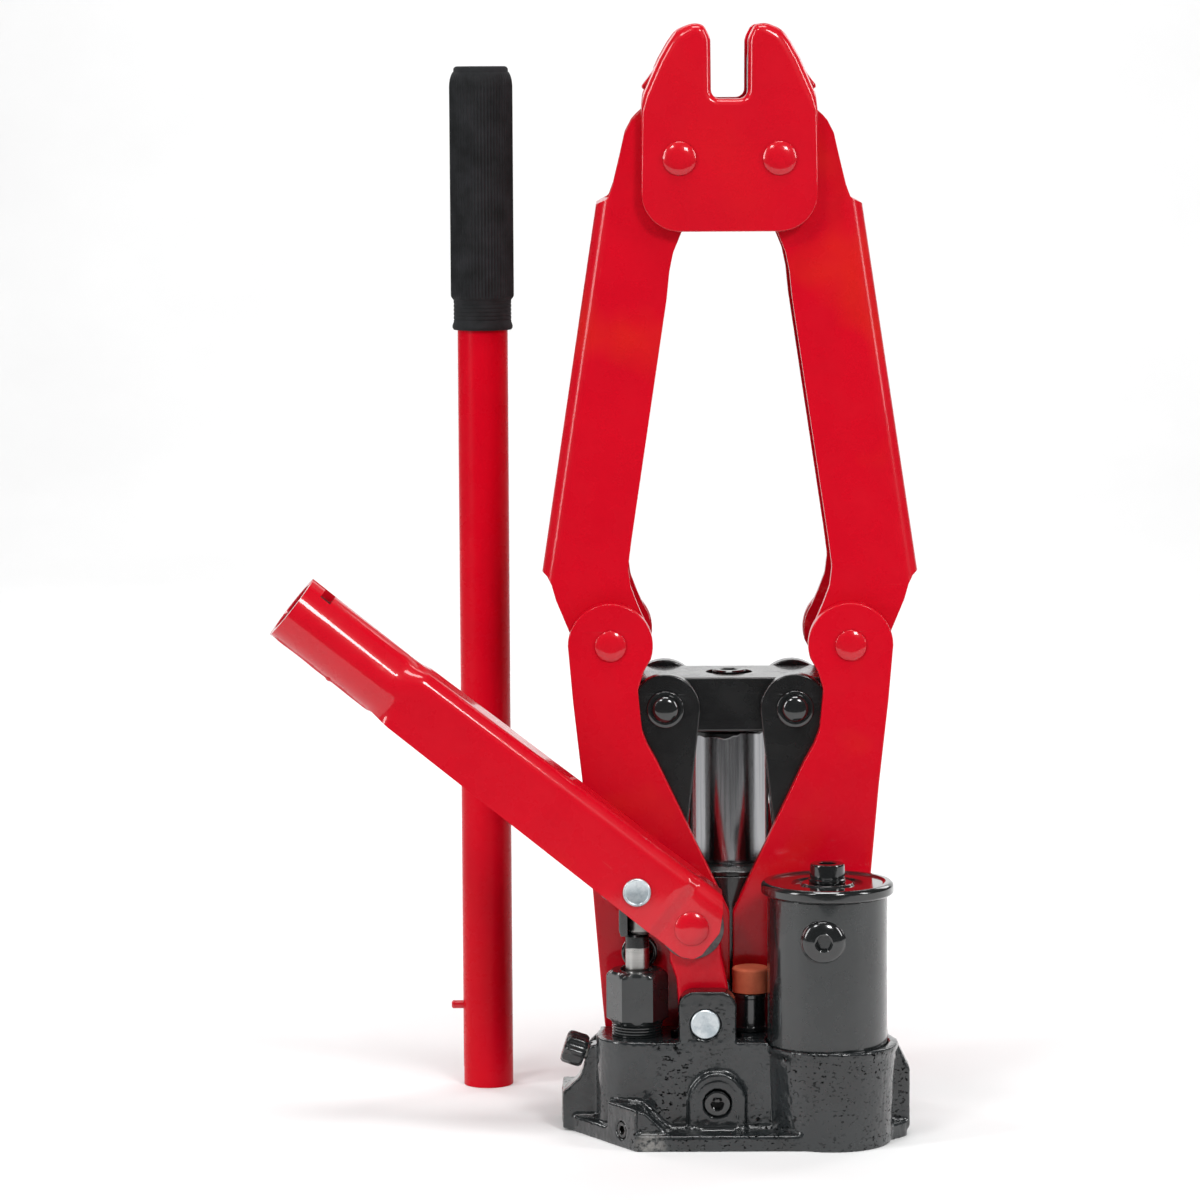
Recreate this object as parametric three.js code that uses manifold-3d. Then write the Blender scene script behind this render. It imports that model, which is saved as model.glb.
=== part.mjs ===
// Hydraulic bench bolt cutters: a pump base draws a ram down, which spreads two lower arms,
// pivots two upper arms and closes the jaws between two head plates. A pump lever works the
// plunger, and its loose handle stands beside the base. Millimetres, +Z up, front faces -Y.
import * as THREE from 'three';
import { mergeVertices } from 'three/addons/utils/BufferGeometryUtils.js';
import Module from 'manifold-3d';

const wasm = await Module();
wasm.setup();

// ---- Driving dimensions ----
const GAP = 0.3;                       // gap between pieces that touch
const SIDES = 16;                      // facets of an ordinary pin or hole
const FINE = 24;                       // facets of a large round piece

const KNEE = { x: 59.8, z: 242.2 };    // joint of lower and upper arm
const HEAD_PIVOT = { x: 24.7, z: 483.8 };
const CROSS_PIN = { x: 32.5, z: 209.3 };
const LINK_PIN = { x: 46, z: 88 };
const BASE_PIVOT = { x: 20, z: 42 };
const TIE = { x: 59.5, z: 121 };

const PLATE_IN = 33.6;                 // inner face of head plates and lower-arm plates
const PLATE_OUT = 41.6;
const FLANGE_IN = 27.3;                // upper-arm channel
const FLANGE_OUT = 33.3;
const LINK_IN = 24.3;
const CROSS_HALF = 24;                 // half depth of the crosshead
const JAW_HALF = 27;

const PIN_R = 6.4;                     // arm and head pins
const PIN_FREE = 0.9;                  // extra room round the pin of an opened pivot
const BASE_PIN_R = 7.7;

const HEAD_TOP = 550;
const SLOT_HALF = 9;
const SLOT_FLOOR = 513;

const BASE_TOP = 50.5;
const FOOT_TOP = 8;
const BLOCK_TOP = 62;                  // central block that carries the cylinder
const FRONT_FACE = -85.5;
const TOE_FRONT = -104;
const FRONT_WALL_BACK = -43;           // back face of the front block, clear of the arms

const RAM_R = 20;
const RAM_TOP = 196.1;
const CYLINDER_R = 32;
const BORE_R = 24;
const CYLINDER_TOP = 124;
const PISTON_Z = 88;
const PISTON_R = 23.6;

const PUMP = { x: -47.2, y: -63 };     // plunger axis, and the lever's middle plane
const PLUNGER_R = 5.9;
const PUMP_PIN = { x: -47.2, z: 125 };
const FULCRUM = { x: -20.2, z: 106.3 };
const LUG_PIN = { x: -13.7, z: 59.7 };
const LUG_PIN_R = 7.3;
const LINK_BLOCK_HALF = 9;             // half thickness of the fulcrum link

const LEVER_TILT = -38.8;              // degrees, from the mouth down to the fulcrum
const LEVER_MOUTH = { x: -217.2, z: 265.8 };
const LEVER_HALF = 17;                 // half width of the channel
const LEVER_WALL = 3.2;
const LEVER_TOP = 20;                  // above the socket's axis
const LEVER_LIP = -15.4;               // lower edge of the cheeks
const SOCKET_LENGTH = 62;
const JOGGLE_START = 237;
const JOGGLE_END = 243;
const JOGGLE_IN = 2.2;
const LEVER_LENGTH = 265.6;

const TANK = { x: 46.6, y: -77 };
const COLLAR = { x: 48.5, low: 30, high: 33 };
const TANK_R = 29.6;
const TANK_WALL = 2.6;
const TANK_RIM_R = 32.7;
const TANK_TOP = 127;

const RELIEF = { x: 9.3, y: -53.8 };
const BASE_PLUG = { x: -8, z: 20.5 };
const RELIEF_R = 8.8;

const VALVE = { x: -81.7, y: -48.5, z: 41.4, tilt: 18 };  // knob's end face, stem runs down to +X
const HANDLE = { x: -125, y: 55.4 };     // stands behind the sweep of the left arms
const HANDLE_R = 12.9;
const HANDLE_TOP = 529;

// ---- Materials ----
function paint(color, roughness, metalness) {
  return () => new THREE.MeshStandardMaterial({ color, roughness, metalness });
}
const redPaint = paint(0xc8102a, 0.3, 0.1);
const blackPaint = paint(0x1c1d1f, 0.25, 0.2);
const chrome = paint(0xd8d8da, 0.12, 1);
const steel = paint(0xa5a6a6, 0.35, 1);
const zinc = paint(0xc9d2d6, 0.35, 1);
const bladeSteel = paint(0x3a3b3d, 0.45, 0.9);
const rubber = paint(0x18181a, 0.8, 0);
const orangeRubber = paint(0xa04b32, 0.75, 0);

// ---- Solids ----
const radians = THREE.MathUtils.degToRad;

function solid(geometry) {
  const bare = geometry.clone();
  bare.deleteAttribute('normal');
  bare.deleteAttribute('uv');
  const merged = mergeVertices(bare, 1e-4);
  const place = merged.attributes.position.array;
  const index = merged.index.array;
  const corner = (i) => new THREE.Vector3().fromArray(place, 3 * i);
  const triangles = [];
  let volume = 0;
  for (let i = 0; i < index.length; i += 3) {
    const [a, b, c] = [index[i], index[i + 1], index[i + 2]];
    if (a === b || b === c || c === a) continue;
    triangles.push(a, b, c);
    volume += corner(a).dot(corner(b).cross(corner(c)));
  }
  if (volume < 0) triangles.reverse();
  const mesh = new wasm.Mesh({
    numProp: 3, vertProperties: new Float32Array(place), triVerts: new Uint32Array(triangles),
  });
  return new wasm.Manifold(mesh);
}

function geometryOf(body) {
  const mesh = body.getMesh();
  const geometry = new THREE.BufferGeometry();
  const count = mesh.vertProperties.length / mesh.numProp;
  const place = new Float32Array(count * 3);
  for (let i = 0; i < count; i += 1) {
    place.set(mesh.vertProperties.subarray(i * mesh.numProp, i * mesh.numProp + 3), i * 3);
  }
  geometry.setAttribute('position', new THREE.BufferAttribute(place, 3));
  geometry.setIndex(new THREE.BufferAttribute(new Uint32Array(mesh.triVerts), 1));
  geometry.computeVertexNormals();
  return geometry;
}

const join = (first, ...others) => others.reduce((sum, other) => sum.add(other), first);
const cut = (first, ...others) => others.reduce((rest, other) => rest.subtract(other), first);

function arc(x, z, r, from, to, steps) {
  const points = [];
  for (let i = 0; i <= steps; i += 1) {
    const angle = radians(from + ((to - from) * i) / steps);
    points.push([x + r * Math.cos(angle), z + r * Math.sin(angle)]);
  }
  return points;
}

function extruded(points, depth) {
  const shape = new THREE.Shape(points.map(([a, b]) => new THREE.Vector2(a, b)));
  return new THREE.ExtrudeGeometry(shape, { depth, bevelEnabled: false });
}

// An (x, z) outline, solid from y0 to y1. side -1 mirrors it to the left.
function plate(points, y0, y1, side = 1) {
  const geometry = extruded(points.map(([x, z]) => [side * x, z]), y1 - y0);
  geometry.rotateX(Math.PI / 2);
  geometry.translate(0, y1, 0);
  return solid(geometry);
}

// An (x, y) outline, solid from z0 to z1.
function slab(points, z0, z1) {
  const geometry = extruded(points, z1 - z0);
  geometry.translate(0, 0, z0);
  return solid(geometry);
}

function block(x0, x1, y0, y1, z0, z1) {
  const geometry = new THREE.BoxGeometry(x1 - x0, y1 - y0, z1 - z0);
  geometry.translate((x0 + x1) / 2, (y0 + y1) / 2, (z0 + z1) / 2);
  return solid(geometry);
}

function rodAlongY(x, z, r, y0, y1, sides = SIDES) {
  const geometry = new THREE.CylinderGeometry(r, r, y1 - y0, sides);
  geometry.translate(x, (y0 + y1) / 2, z);
  return solid(geometry);
}

function rodAlongZ(x, y, r, z0, z1, sides = SIDES, turn = 0) {
  const geometry = new THREE.CylinderGeometry(r, r, z1 - z0, sides);
  geometry.rotateX(Math.PI / 2);
  geometry.rotateZ(radians(turn));
  geometry.translate(x, y, (z0 + z1) / 2);
  return solid(geometry);
}

// A profile of (radius, height) pairs turned about a vertical axis.
function turned(profile, x, y, sides = FINE) {
  const points = profile.map(([r, z]) => new THREE.Vector2(r, z));
  const geometry = new THREE.LatheGeometry(points, sides);
  geometry.rotateX(Math.PI / 2);
  geometry.translate(x, y, 0);
  return solid(geometry);
}

// A ring: the same, with its profile closed on itself.
const ring = (profile, x, y, sides) => turned([...profile, profile[0]], x, y, sides);

// A profile of (radius, height) turned about a line along Y through (x, z).
function turnedAlongY(profile, x, z, sides = SIDES) {
  const points = profile.map(([r, y]) => new THREE.Vector2(r, y));
  const geometry = new THREE.LatheGeometry(points, sides);
  geometry.translate(x, 0, z);
  return solid(geometry);
}

// A pin along Y with a domed head on both ends.
function domedPin(pivot, side, r, head, shoulder, dome) {
  const tip = shoulder + dome;
  return turnedAlongY([
    [0, -tip], [head * 0.65, -tip], [head, -shoulder - dome * 0.4], [head, -shoulder], [r, -shoulder],
    [r, shoulder], [head, shoulder], [head, shoulder + dome * 0.4], [head * 0.65, tip], [0, tip],
  ], side * pivot.x, pivot.z);
}

const hole = (pivot, side, r, extra = 0) =>
  rodAlongY(side * pivot.x, pivot.z, (r + GAP + extra) / Math.cos(Math.PI / SIDES), -60, 60);

// ---- Head ----
function headPlate(front) {
  const right = [
    ...arc(24.4, 466.8, 19, -90, 0, 6), [43.4, 510], [42.5, 513], [30.2, 542], [28, 545.3],
    [25.2, 547.5], [21.5, 549.4], [17.4, HEAD_TOP], [13.9, 549.5], [11, 547.2],
    [9.5, 544], [SLOT_HALF, 540], [SLOT_HALF, SLOT_FLOOR + 3.5], [8.2, SLOT_FLOOR + 1.2], [6.2, SLOT_FLOOR],
  ];
  const left = right.map(([x, z]) => [-x, z]).reverse();
  const body = plate([...right, ...left], front ? -PLATE_OUT : PLATE_IN, front ? -PLATE_IN : PLATE_OUT);
  return cut(body, hole(HEAD_PIVOT, -1, PIN_R), hole(HEAD_PIVOT, 1, PIN_R));
}

function jaw(side) {
  const outline = [
    [9.5, 453], [8.5, 470], [8.5, 500], [9.4, 508], [9.4, 529], [13.2, 546], [16, 547.8],
    [24.5, 545], [29, 540], [38.5, 523], [42, 520.6], [45, 519.6], [45, 508], [44, 500],
    [48, 484], [50, 462], [49, 437], [33, 437], [27, 453],
  ];
  const free = side > 0 ? PIN_FREE : 0;
  return cut(plate(outline, -JAW_HALF, JAW_HALF, side), hole(HEAD_PIVOT, side, PIN_R, free));
}

// ---- Upper arm: a folded channel, its web on the outer side ----
const WEB_TOP = [66, 461];
const WEB_FOOT = [93.7, 278.3];

function upperArm(side) {
  const outline = [
    ...arc(HEAD_PIVOT.x, HEAD_PIVOT.z, 21.4, 232, 118, 8),
    ...arc(HEAD_PIVOT.x, HEAD_PIVOT.z, 30, 84, -6, 8), [57.5, 468.5], [60, 464.3], WEB_TOP,
    WEB_FOOT, [91.5, 276.4], [89.6, 273.2], [86.8, 264.3],
    ...arc(KNEE.x, KNEE.z, 20.8, 15, -215, 14), [46.2, 262], [49.6, 271], [50.8, 280.6],
    [49.1, 294], [31.1, 414.3], [29.7, 428], [27.8, 437.3], [25.7, 443.5], [23.5, 447.7],
    [13.5, 462],
  ];
  const along = new THREE.Vector2(WEB_FOOT[0] - WEB_TOP[0], WEB_FOOT[1] - WEB_TOP[1]).normalize();
  const inward = new THREE.Vector2(along.y, -along.x);
  const offset = ([x, z], t, s) => [x + inward.x * t + along.x * s, z + inward.y * t + along.y * s];
  const webInnerTop = offset(WEB_TOP, 6, 0);
  const webInnerFoot = offset(WEB_FOOT, 6, 0);
  const hollow = plate([
    [-20, 560], [110, 560], [110, WEB_TOP[1] + 2], [webInnerTop[0], WEB_TOP[1] + 2], webInnerTop,
    webInnerFoot, [webInnerFoot[0], 275], [115, 275], [115, 200], [-20, 200],
  ], -FLANGE_IN, FLANGE_IN, side);
  const body = plate(outline, -FLANGE_OUT, FLANGE_OUT, side);
  const bend = channelBend(offset(WEB_TOP, 0, -140), along, inward, side);
  const free = side > 0 ? PIN_FREE : 0;
  return cut(body.intersect(bend), hollow, hole(HEAD_PIVOT, side, PIN_R, free), hole(KNEE, side, PIN_R));
}

// A long bar with two rounded corners, which trims the channel's folded edges.
function channelBend(start, along, inward, side) {
  const bendR = 9;
  const far = 200;
  const length = 460;
  const section = [
    [far, FLANGE_OUT], ...arc(bendR, FLANGE_OUT - bendR, bendR, 90, 180, 4),
    ...arc(bendR, bendR - FLANGE_OUT, bendR, 180, 270, 4), [far, -FLANGE_OUT],
  ];
  const geometry = extruded(section, length);
  const place = new THREE.Matrix4().makeBasis(
    new THREE.Vector3(side * inward.x, 0, inward.y),
    new THREE.Vector3(0, 1, 0),
    new THREE.Vector3(side * along.x, 0, along.y),
  );
  place.setPosition(side * start[0], 0, start[1]);
  geometry.applyMatrix4(place);
  return solid(geometry);
}

// ---- Lower arm plate ----
function lowerArmPlate(side, front) {
  const outline = [
    ...arc(KNEE.x, KNEE.z, 21.2, 0, 198, 14), [43.3, 229.3], [45.4, 225], [46.2, 221], [46.1, 218],
    [45.1, 208], [44.2, 199.7], [41.5, 192.5], [37, 184.5], [4, 115], [1.6, 111.5], [0.7, 108],
    [0.7, 46], ...arc(BASE_PIVOT.x, BASE_PIVOT.z, 19.2, 178, 300, 8), [52, 31], [61, 40],
    [63.5, 51], [64.8, 65], [69.3, 120], [73.9, 172], [78.6, 214.4],
  ];
  const body = plate(outline, front ? -PLATE_OUT : PLATE_IN, front ? -PLATE_IN : PLATE_OUT, side);
  return cut(
    body, hole(KNEE, side, PIN_R), hole(LINK_PIN, side, PIN_R), hole(TIE, side, 5),
    hole(BASE_PIVOT, side, BASE_PIN_R),
  );
}

function tieBolt(side) {
  const shoulder = PLATE_OUT + GAP;
  const tip = shoulder + 1.6;
  return turnedAlongY([
    [0, -tip], [7, -tip], [7, -shoulder], [5, -shoulder], [5, shoulder], [7, shoulder], [7, tip], [0, tip],
  ], side * TIE.x, TIE.z);
}

// ---- Crosshead and links ----
function crosshead() {
  const half = 47;
  const outline = [
    [-half + 2, 196.4], [half - 2, 196.4], [half, 198.4], [half, 222], [half - 2, 224],
    [-half + 2, 224], [-half, 222], [-half, 198.4],
  ];
  return cut(
    plate(outline, -CROSS_HALF, CROSS_HALF), hole(CROSS_PIN, -1, PIN_R), hole(CROSS_PIN, 1, PIN_R),
    rodAlongZ(0, 0, 6.3, 190, 230), rodAlongZ(0, 0, 11.5, 214, 230),
  );
}

function crossheadScrew() {
  const head = rodAlongZ(0, 0, 8.4, 214.3, 223);
  const shank = rodAlongZ(0, 0, 5.8, 172, 215);
  return cut(join(head, shank), rodAlongZ(0, 0, 4.6, 219, 226, 6));
}

function link(side, front) {
  const dx = CROSS_PIN.x - LINK_PIN.x;
  const dz = CROSS_PIN.z - LINK_PIN.z;
  const length = Math.hypot(dx, dz);
  const lean = new THREE.Vector2(dx / length, dz / length);
  const at = ([s, t]) => [LINK_PIN.x + lean.x * s - lean.y * t, LINK_PIN.z + lean.y * s + lean.x * t];
  const outline = [
    ...arc(0, 0, 13, 90, 236, 6), [0, -11], [58, -11], [80, -17.5],
    ...arc(length, 0, 17.5, -90, 90, 10), [40, 17.5],
  ].map(at);
  const body = plate(outline, front ? -FLANGE_OUT : LINK_IN, front ? -LINK_IN : FLANGE_OUT, side);
  return cut(body, hole(CROSS_PIN, side, PIN_R), hole(LINK_PIN, side, PIN_R - 0.6, PIN_FREE));
}

// ---- Cylinder ----
function mainCylinder() {
  return turned([
    [0, BLOCK_TOP + GAP], [CYLINDER_R, BLOCK_TOP + GAP], [CYLINDER_R, CYLINDER_TOP],
    [BORE_R, CYLINDER_TOP], [BORE_R, 68], [0, 68],
  ], 0, 0);
}

function cylinderGland() {
  return ring([
    [RAM_R + GAP, 112], [BORE_R - GAP, 112], [BORE_R - GAP, CYLINDER_TOP + GAP],
    [29, CYLINDER_TOP + GAP], [29, 127.9], [28, 128.7], [RAM_R + GAP, 128.7],
  ], 0, 0);
}

function ramRod() {
  const spigot = 12;
  return turned([
    [0, PISTON_Z], [spigot, PISTON_Z], [spigot, PISTON_Z + 10.3], [RAM_R, PISTON_Z + 10.3],
    [RAM_R, RAM_TOP - 1], [RAM_R - 1, RAM_TOP], [6.3, RAM_TOP], [6.3, 168], [0, 168],
  ], 0, 0);
}

function ramPiston() {
  const low = PISTON_Z;
  return ring([
    [12.3, low], [PISTON_R, low], [PISTON_R, low + 2.8], [20.6, low + 2.8], [20.6, low + 7.2],
    [PISTON_R, low + 7.2], [PISTON_R, low + 10], [12.3, low + 10],
  ], 0, 0);
}

function pistonSeal() {
  return ring([
    [20.9, PISTON_Z + 3.1], [PISTON_R, PISTON_Z + 3.1], [PISTON_R, PISTON_Z + 6.9], [20.9, PISTON_Z + 6.9],
  ], 0, 0);
}

class Helix extends THREE.Curve {
  constructor(r, low, high, turns) {
    super();
    Object.assign(this, { r, low, high, turns });
  }

  getPoint(t, target = new THREE.Vector3()) {
    const angle = 2 * Math.PI * this.turns * t;
    const z = this.low + (this.high - this.low) * t;
    return target.set(this.r * Math.cos(angle), this.r * Math.sin(angle), z);
  }
}

function returnSpring() {
  const wire = 1.3;
  const turns = 3;
  const path = new Helix(15, 68.3 + wire, PISTON_Z - GAP - wire, turns);
  const section = new THREE.Shape(arc(0, 0, wire, 0, 300, 5).map(([a, b]) => new THREE.Vector2(a, b)));
  return solid(new THREE.ExtrudeGeometry(section, { steps: turns * 12, extrudePath: path, bevelEnabled: false }));
}

// ---- Base casting ----
function footPlate() {
  return slab([
    [-85, -20], [-85.3, -42], [-82.7, -52], [-48, TOE_FRONT], [36, TOE_FRONT], [60, -97], [78, -80],
    [86.5, -71], [88, -30], [66, 44], [52, 52], [-52, 52], [-66, 44],
  ], 0, FOOT_TOP);
}

// Round about the pump barrel on the left, flat in front, and the collar of the reservoir.
function frontBlock() {
  const barrel = arc(PUMP.x, PUMP.y, 20.5, 165, 262, 9);
  const body = slab([
    [-66, FRONT_WALL_BACK], ...barrel, [-38, FRONT_FACE], [22, FRONT_FACE], [30, FRONT_WALL_BACK],
  ], FOOT_TOP - 1, BASE_TOP);
  const collar = turned([[0, 0], [COLLAR.low, 0], [COLLAR.high, 50], [0, 50]], COLLAR.x, TANK.y);
  const side = slab([[40, -70], [78, -70], [78, FRONT_WALL_BACK], [25, FRONT_WALL_BACK]], FOOT_TOP - 1, 50);
  const arch = BASE_PLUG.z + 1.4;
  const boss = plate([
    [-22.1, 1], [6.1, 1], ...arc(BASE_PLUG.x, arch, 14.1, 0, 180, 8),
  ], FRONT_FACE - 3.2, FRONT_FACE + 4);
  const front = block(-90, 90, -120, FRONT_WALL_BACK, 0, 90);
  return join(body, collar.intersect(front), side, boss);
}

// The block low on the left, which slopes away to the right.
function cornerBlock() {
  const body = slab([[-62.7, -82], [-48, TOE_FRONT], [-45, -84], [-56, -72]], FOOT_TOP - 1, 20.7);
  const slope = plate([[-50, 3], [-50, 20.4], [-44, 19], [-31, FOOT_TOP - 1], [-31, 3]], -101, -80);
  return join(body, slope);
}

// The raised left corner under the release valve, and the rib behind it.
function valveWing() {
  const wing = plate([
    [-85, 1], [-85, 20], [-76.5, 27], [-75, 30], [-73, 36.5], [-71, 43], [-60, 46], [-60, 1],
  ], -57, FRONT_WALL_BACK - 0.4);
  const outer = slab([[-85, -20], [-85.3, -42], [-85, -44], [-66, -44], [-66, -20]], FOOT_TOP - 1, 20);
  const rib = plate([
    [-74, 37], [-70, 41], [-60, 49.5], [-33, 49.5], [-33, 44], [-58, 44], [-68, 37], [-68, 15], [-74, 15],
  ], -27, -23);
  return join(wing.intersect(footPrint()), outer, rib);
}

const footPrint = () => slab([[-85.3, -42], [-82.7, -52], [-60, -87], [-50, -42]], 0, 60);

function fulcrumLug() {
  const corner = 7.5;
  const high = 76 - corner;
  return cut(
    plate([
      [-26.8, BASE_TOP - 4], [1.6, BASE_TOP - 4], ...arc(1.6 - corner, high, corner, 0, 90, 3),
      ...arc(corner - 26.8, high, corner, 90, 180, 3),
    ], FRONT_FACE, FRONT_WALL_BACK - 0.4),
    block(-0.8, 4, PUMP.y, FRONT_WALL_BACK + 2, BASE_TOP, 90),
  );
}

function baseCasting() {
  const centre = block(-34, 34, -33.3, 33.3, FOOT_TOP - 1, BLOCK_TOP);
  const rear = slab([[-40, 43], [40, 43], [34, 51], [-34, 51]], FOOT_TOP - 1, 56);
  const flange = plate([[76, 4], [88, 4], [88, 34], [82, 46], [76, 46]], -70, -58);
  const whole = join(
    footPlate(), frontBlock(), cornerBlock(), valveWing(), fulcrumLug(), centre, rear, flange,
  );
  const slot = LINK_BLOCK_HALF + 0.6;
  const pinSpan = block(-80, 80, -46.3, 46.3, 0, 80);
  return cut(
    whole,
    hole(BASE_PIVOT, -1, BASE_PIN_R).intersect(pinSpan),
    hole(BASE_PIVOT, 1, BASE_PIN_R).intersect(pinSpan),
    block(-30, 4, PUMP.y - slot, PUMP.y + slot, 43, 80),
    rodAlongY(LUG_PIN.x, LUG_PIN.z, LUG_PIN_R + GAP, FRONT_FACE - 4, FRONT_WALL_BACK + 3),
    rodAlongZ(PUMP.x, PUMP.y, PLUNGER_R + GAP, 24, 60),
    rodAlongZ(PUMP.x, PUMP.y, 9.5, 44, 60),
    rodAlongZ(TANK.x, TANK.y, TANK_R + GAP + 0.2, 44, 60, FINE),
    rodAlongZ(RELIEF.x, RELIEF.y, 6.4, 46, 60),
    rodAlongY(BASE_PLUG.x, BASE_PLUG.z, 6.7, FRONT_FACE - 8, FRONT_FACE + 8),
    valveRod(5.4, 9, 36),
    cornerRod(4.4, 13, -1),
  );
}

// ---- Pieces screwed into the base ----
function pumpGlandNut() {
  const body = turned([
    [0, 44.3], [9.1, 44.3], [9.1, BASE_TOP], [12.6, BASE_TOP + GAP], [12.6, 56.5], [15.6, 58.5],
    [15.6, 81], [13.6, 83.5], [0, 83.5],
  ], 0, 0);
  const hex = rodAlongZ(0, 0, 15.2, 40, 90, 6, 30);
  const round = rodAlongZ(0, 0, 12.7, 40, 57);
  return cut(
    join(body.intersect(hex), body.intersect(round)),
    rodAlongZ(0, 0, 9.8, 77, 90), rodAlongZ(0, 0, PLUNGER_R + GAP, 40, 90),
  );
}

function pumpSeal() {
  return ring([[PLUNGER_R + GAP, 77.3], [9.4, 77.3], [9.4, 80], [PLUNGER_R + GAP, 80]], 0, 0);
}

function reservoirTube() {
  return ring([
    [TANK_R - TANK_WALL, 44.3], [TANK_R, 44.3], [TANK_R, 120.4], [TANK_R - TANK_WALL, 120.4],
  ], 0, 0);
}

function reservoirCap() {
  const inner = TANK_R - TANK_WALL - GAP;
  return ring([
    [7, 118], [inner, 118], [inner, 120.7], [TANK_RIM_R - 0.8, 120.7], [TANK_RIM_R, 122],
    [TANK_RIM_R, 125.4], [TANK_RIM_R - 1.8, TANK_TOP], [TANK_RIM_R - 4.4, TANK_TOP],
    [TANK_RIM_R - 5.5, 124.8], [17, 124.8], [16, 126.6], [7, 126.6],
  ], 0, 0);
}

function fillerScrew() {
  const body = turned([
    [0, 114], [6.6, 114], [6.6, 126.9], [9, 126.9], [9, 132.6], [8.2, 133.6], [0, 133.6],
  ], 0, 0, SIDES);
  return cut(body, rodAlongZ(0, 0, 5, 129, 136, 6));
}

function sidePlug() {
  const y = TANK.y - TANK_R;
  const body = turnedAlongY([
    [0, y - 3.2], [9.4, y - 3.2], [10.7, y - 2.2], [10.7, y + 5], [6, y + 5], [6, y + 9], [0, y + 9],
  ], 44, 105.4);
  const tank = rodAlongZ(TANK.x, TANK.y, TANK_R + GAP, 80, 130, FINE);
  return cut(body.subtract(tank), rodAlongY(44, 105.4, 5, y - 6, y - 1, 6));
}

function basePlug() {
  const { x, z } = BASE_PLUG;
  return cut(
    rodAlongY(x, z, 6.2, FRONT_FACE - 3.2, FRONT_FACE + 7),
    rodAlongY(x, z, 3.4, FRONT_FACE - 5, FRONT_FACE + 1, 6),
  );
}

// A rod square to the base's slanted left face, from its outer end inwards.
function cornerRod(r, length, start, sides = SIDES) {
  const geometry = new THREE.CylinderGeometry(r, r, length, sides);
  geometry.translate(0, start + length / 2, 0);
  geometry.rotateZ(radians(-56.5));
  geometry.translate(-55.6, -92.6, 8.6);
  return solid(geometry);
}

const cornerPlug = () => cut(cornerRod(4, 11, 0.4), cornerRod(2.1, 7, -2, 6));

function reliefBody() {
  return turned([
    [0, 46.3], [6, 46.3], [6, BASE_TOP + GAP], [RELIEF_R, BASE_TOP + GAP], [RELIEF_R, 69.8], [5, 69.8],
    [5, 76], [0, 76],
  ], 0, 0, SIDES);
}

function reliefCap() {
  return turned([
    [0, 76.3], [5.3, 76.3], [5.3, 70.1], [9.2, 70.1], [9.2, 81.4], [8.4, 82.6], [0, 82.6],
  ], 0, 0, SIDES);
}

// ---- Release valve: its axis leans from the knob down into the casting ----
function alongValve(geometry) {
  geometry.rotateZ(Math.PI / 2);
  geometry.rotateY(radians(VALVE.tilt));
  geometry.translate(VALVE.x, VALVE.y, VALVE.z);
  return solid(geometry);
}

function valveRod(r, from, to) {
  const geometry = new THREE.CylinderGeometry(r, r, to - from, SIDES);
  geometry.translate(0, -(from + to) / 2, 0);
  return alongValve(geometry);
}

function releaseKnob() {
  const flutes = [];
  for (let i = 0; i < 8; i += 1) {
    const flute = new THREE.CylinderGeometry(1.6, 1.6, 14, 8);
    flute.translate(8.9 * Math.cos((i * Math.PI) / 4), -4, 8.9 * Math.sin((i * Math.PI) / 4));
    flutes.push(alongValve(flute));
  }
  return cut(valveRod(8.5, 0, 9), valveRod(4, 3, 12), ...flutes);
}

const releaseStem = () => join(valveRod(3.6, 3.3, 13), valveRod(5, 12.3, 30));

// ---- Pump linkage ----
function fulcrumLink() {
  const outline = [
    [-28.8, 66], [-27.5, 58], ...arc(LUG_PIN.x, LUG_PIN.z, 13.8, 220, 330, 6), [-0.9, 64], [-2.6, 78],
    [-5.5, 92], ...arc(FULCRUM.x, FULCRUM.z, 14, -22, 202, 10), [-32, 90],
  ];
  const body = plate(outline, PUMP.y - LINK_BLOCK_HALF, PUMP.y + LINK_BLOCK_HALF);
  return cut(
    body.intersect(block(-26.6, 10, -90, -30, 43.4, 130)),
    rodAlongY(LUG_PIN.x, LUG_PIN.z, LUG_PIN_R + GAP + 0.1, -90, -40),
    rodAlongY(FULCRUM.x, FULCRUM.z, PIN_R + GAP, -90, -40),
  );
}

function lugPin() {
  return rodAlongY(LUG_PIN.x, LUG_PIN.z, LUG_PIN_R, FRONT_FACE - 0.4, FRONT_WALL_BACK);
}

const onLever = new THREE.Matrix4()
  .makeRotationY(radians(-LEVER_TILT))
  .setPosition(LEVER_MOUTH.x, PUMP.y, LEVER_MOUTH.z);

// An outline of (distance from the mouth, height) solid across the lever's width.
function leverPlate(points, half) {
  const geometry = extruded(points, 2 * half);
  geometry.rotateX(Math.PI / 2);
  geometry.translate(0, half, 0);
  return solid(geometry.applyMatrix4(onLever));
}

// An outline of (distance from the mouth, y) solid from one height to another.
function leverSlab(points, low, high) {
  const geometry = extruded(points, high - low);
  geometry.translate(0, 0, low);
  return solid(geometry.applyMatrix4(onLever));
}

function leverRod(r, from, to) {
  const geometry = new THREE.CylinderGeometry(r, r, to - from, FINE);
  geometry.rotateZ(Math.PI / 2);
  geometry.translate((from + to) / 2, 0, 0);
  return solid(geometry.applyMatrix4(onLever));
}

// The plan of the channel at a given half width, narrowed at the nose.
function leverPlan(half, from, to, shift) {
  const step = [
    [JOGGLE_START + shift, half], [JOGGLE_END + shift, half - JOGGLE_IN], [to, half - JOGGLE_IN],
  ];
  return [[from, -half], ...step.map(([s, y]) => [s, -y]), ...step.reverse(), [from, half]];
}

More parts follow.
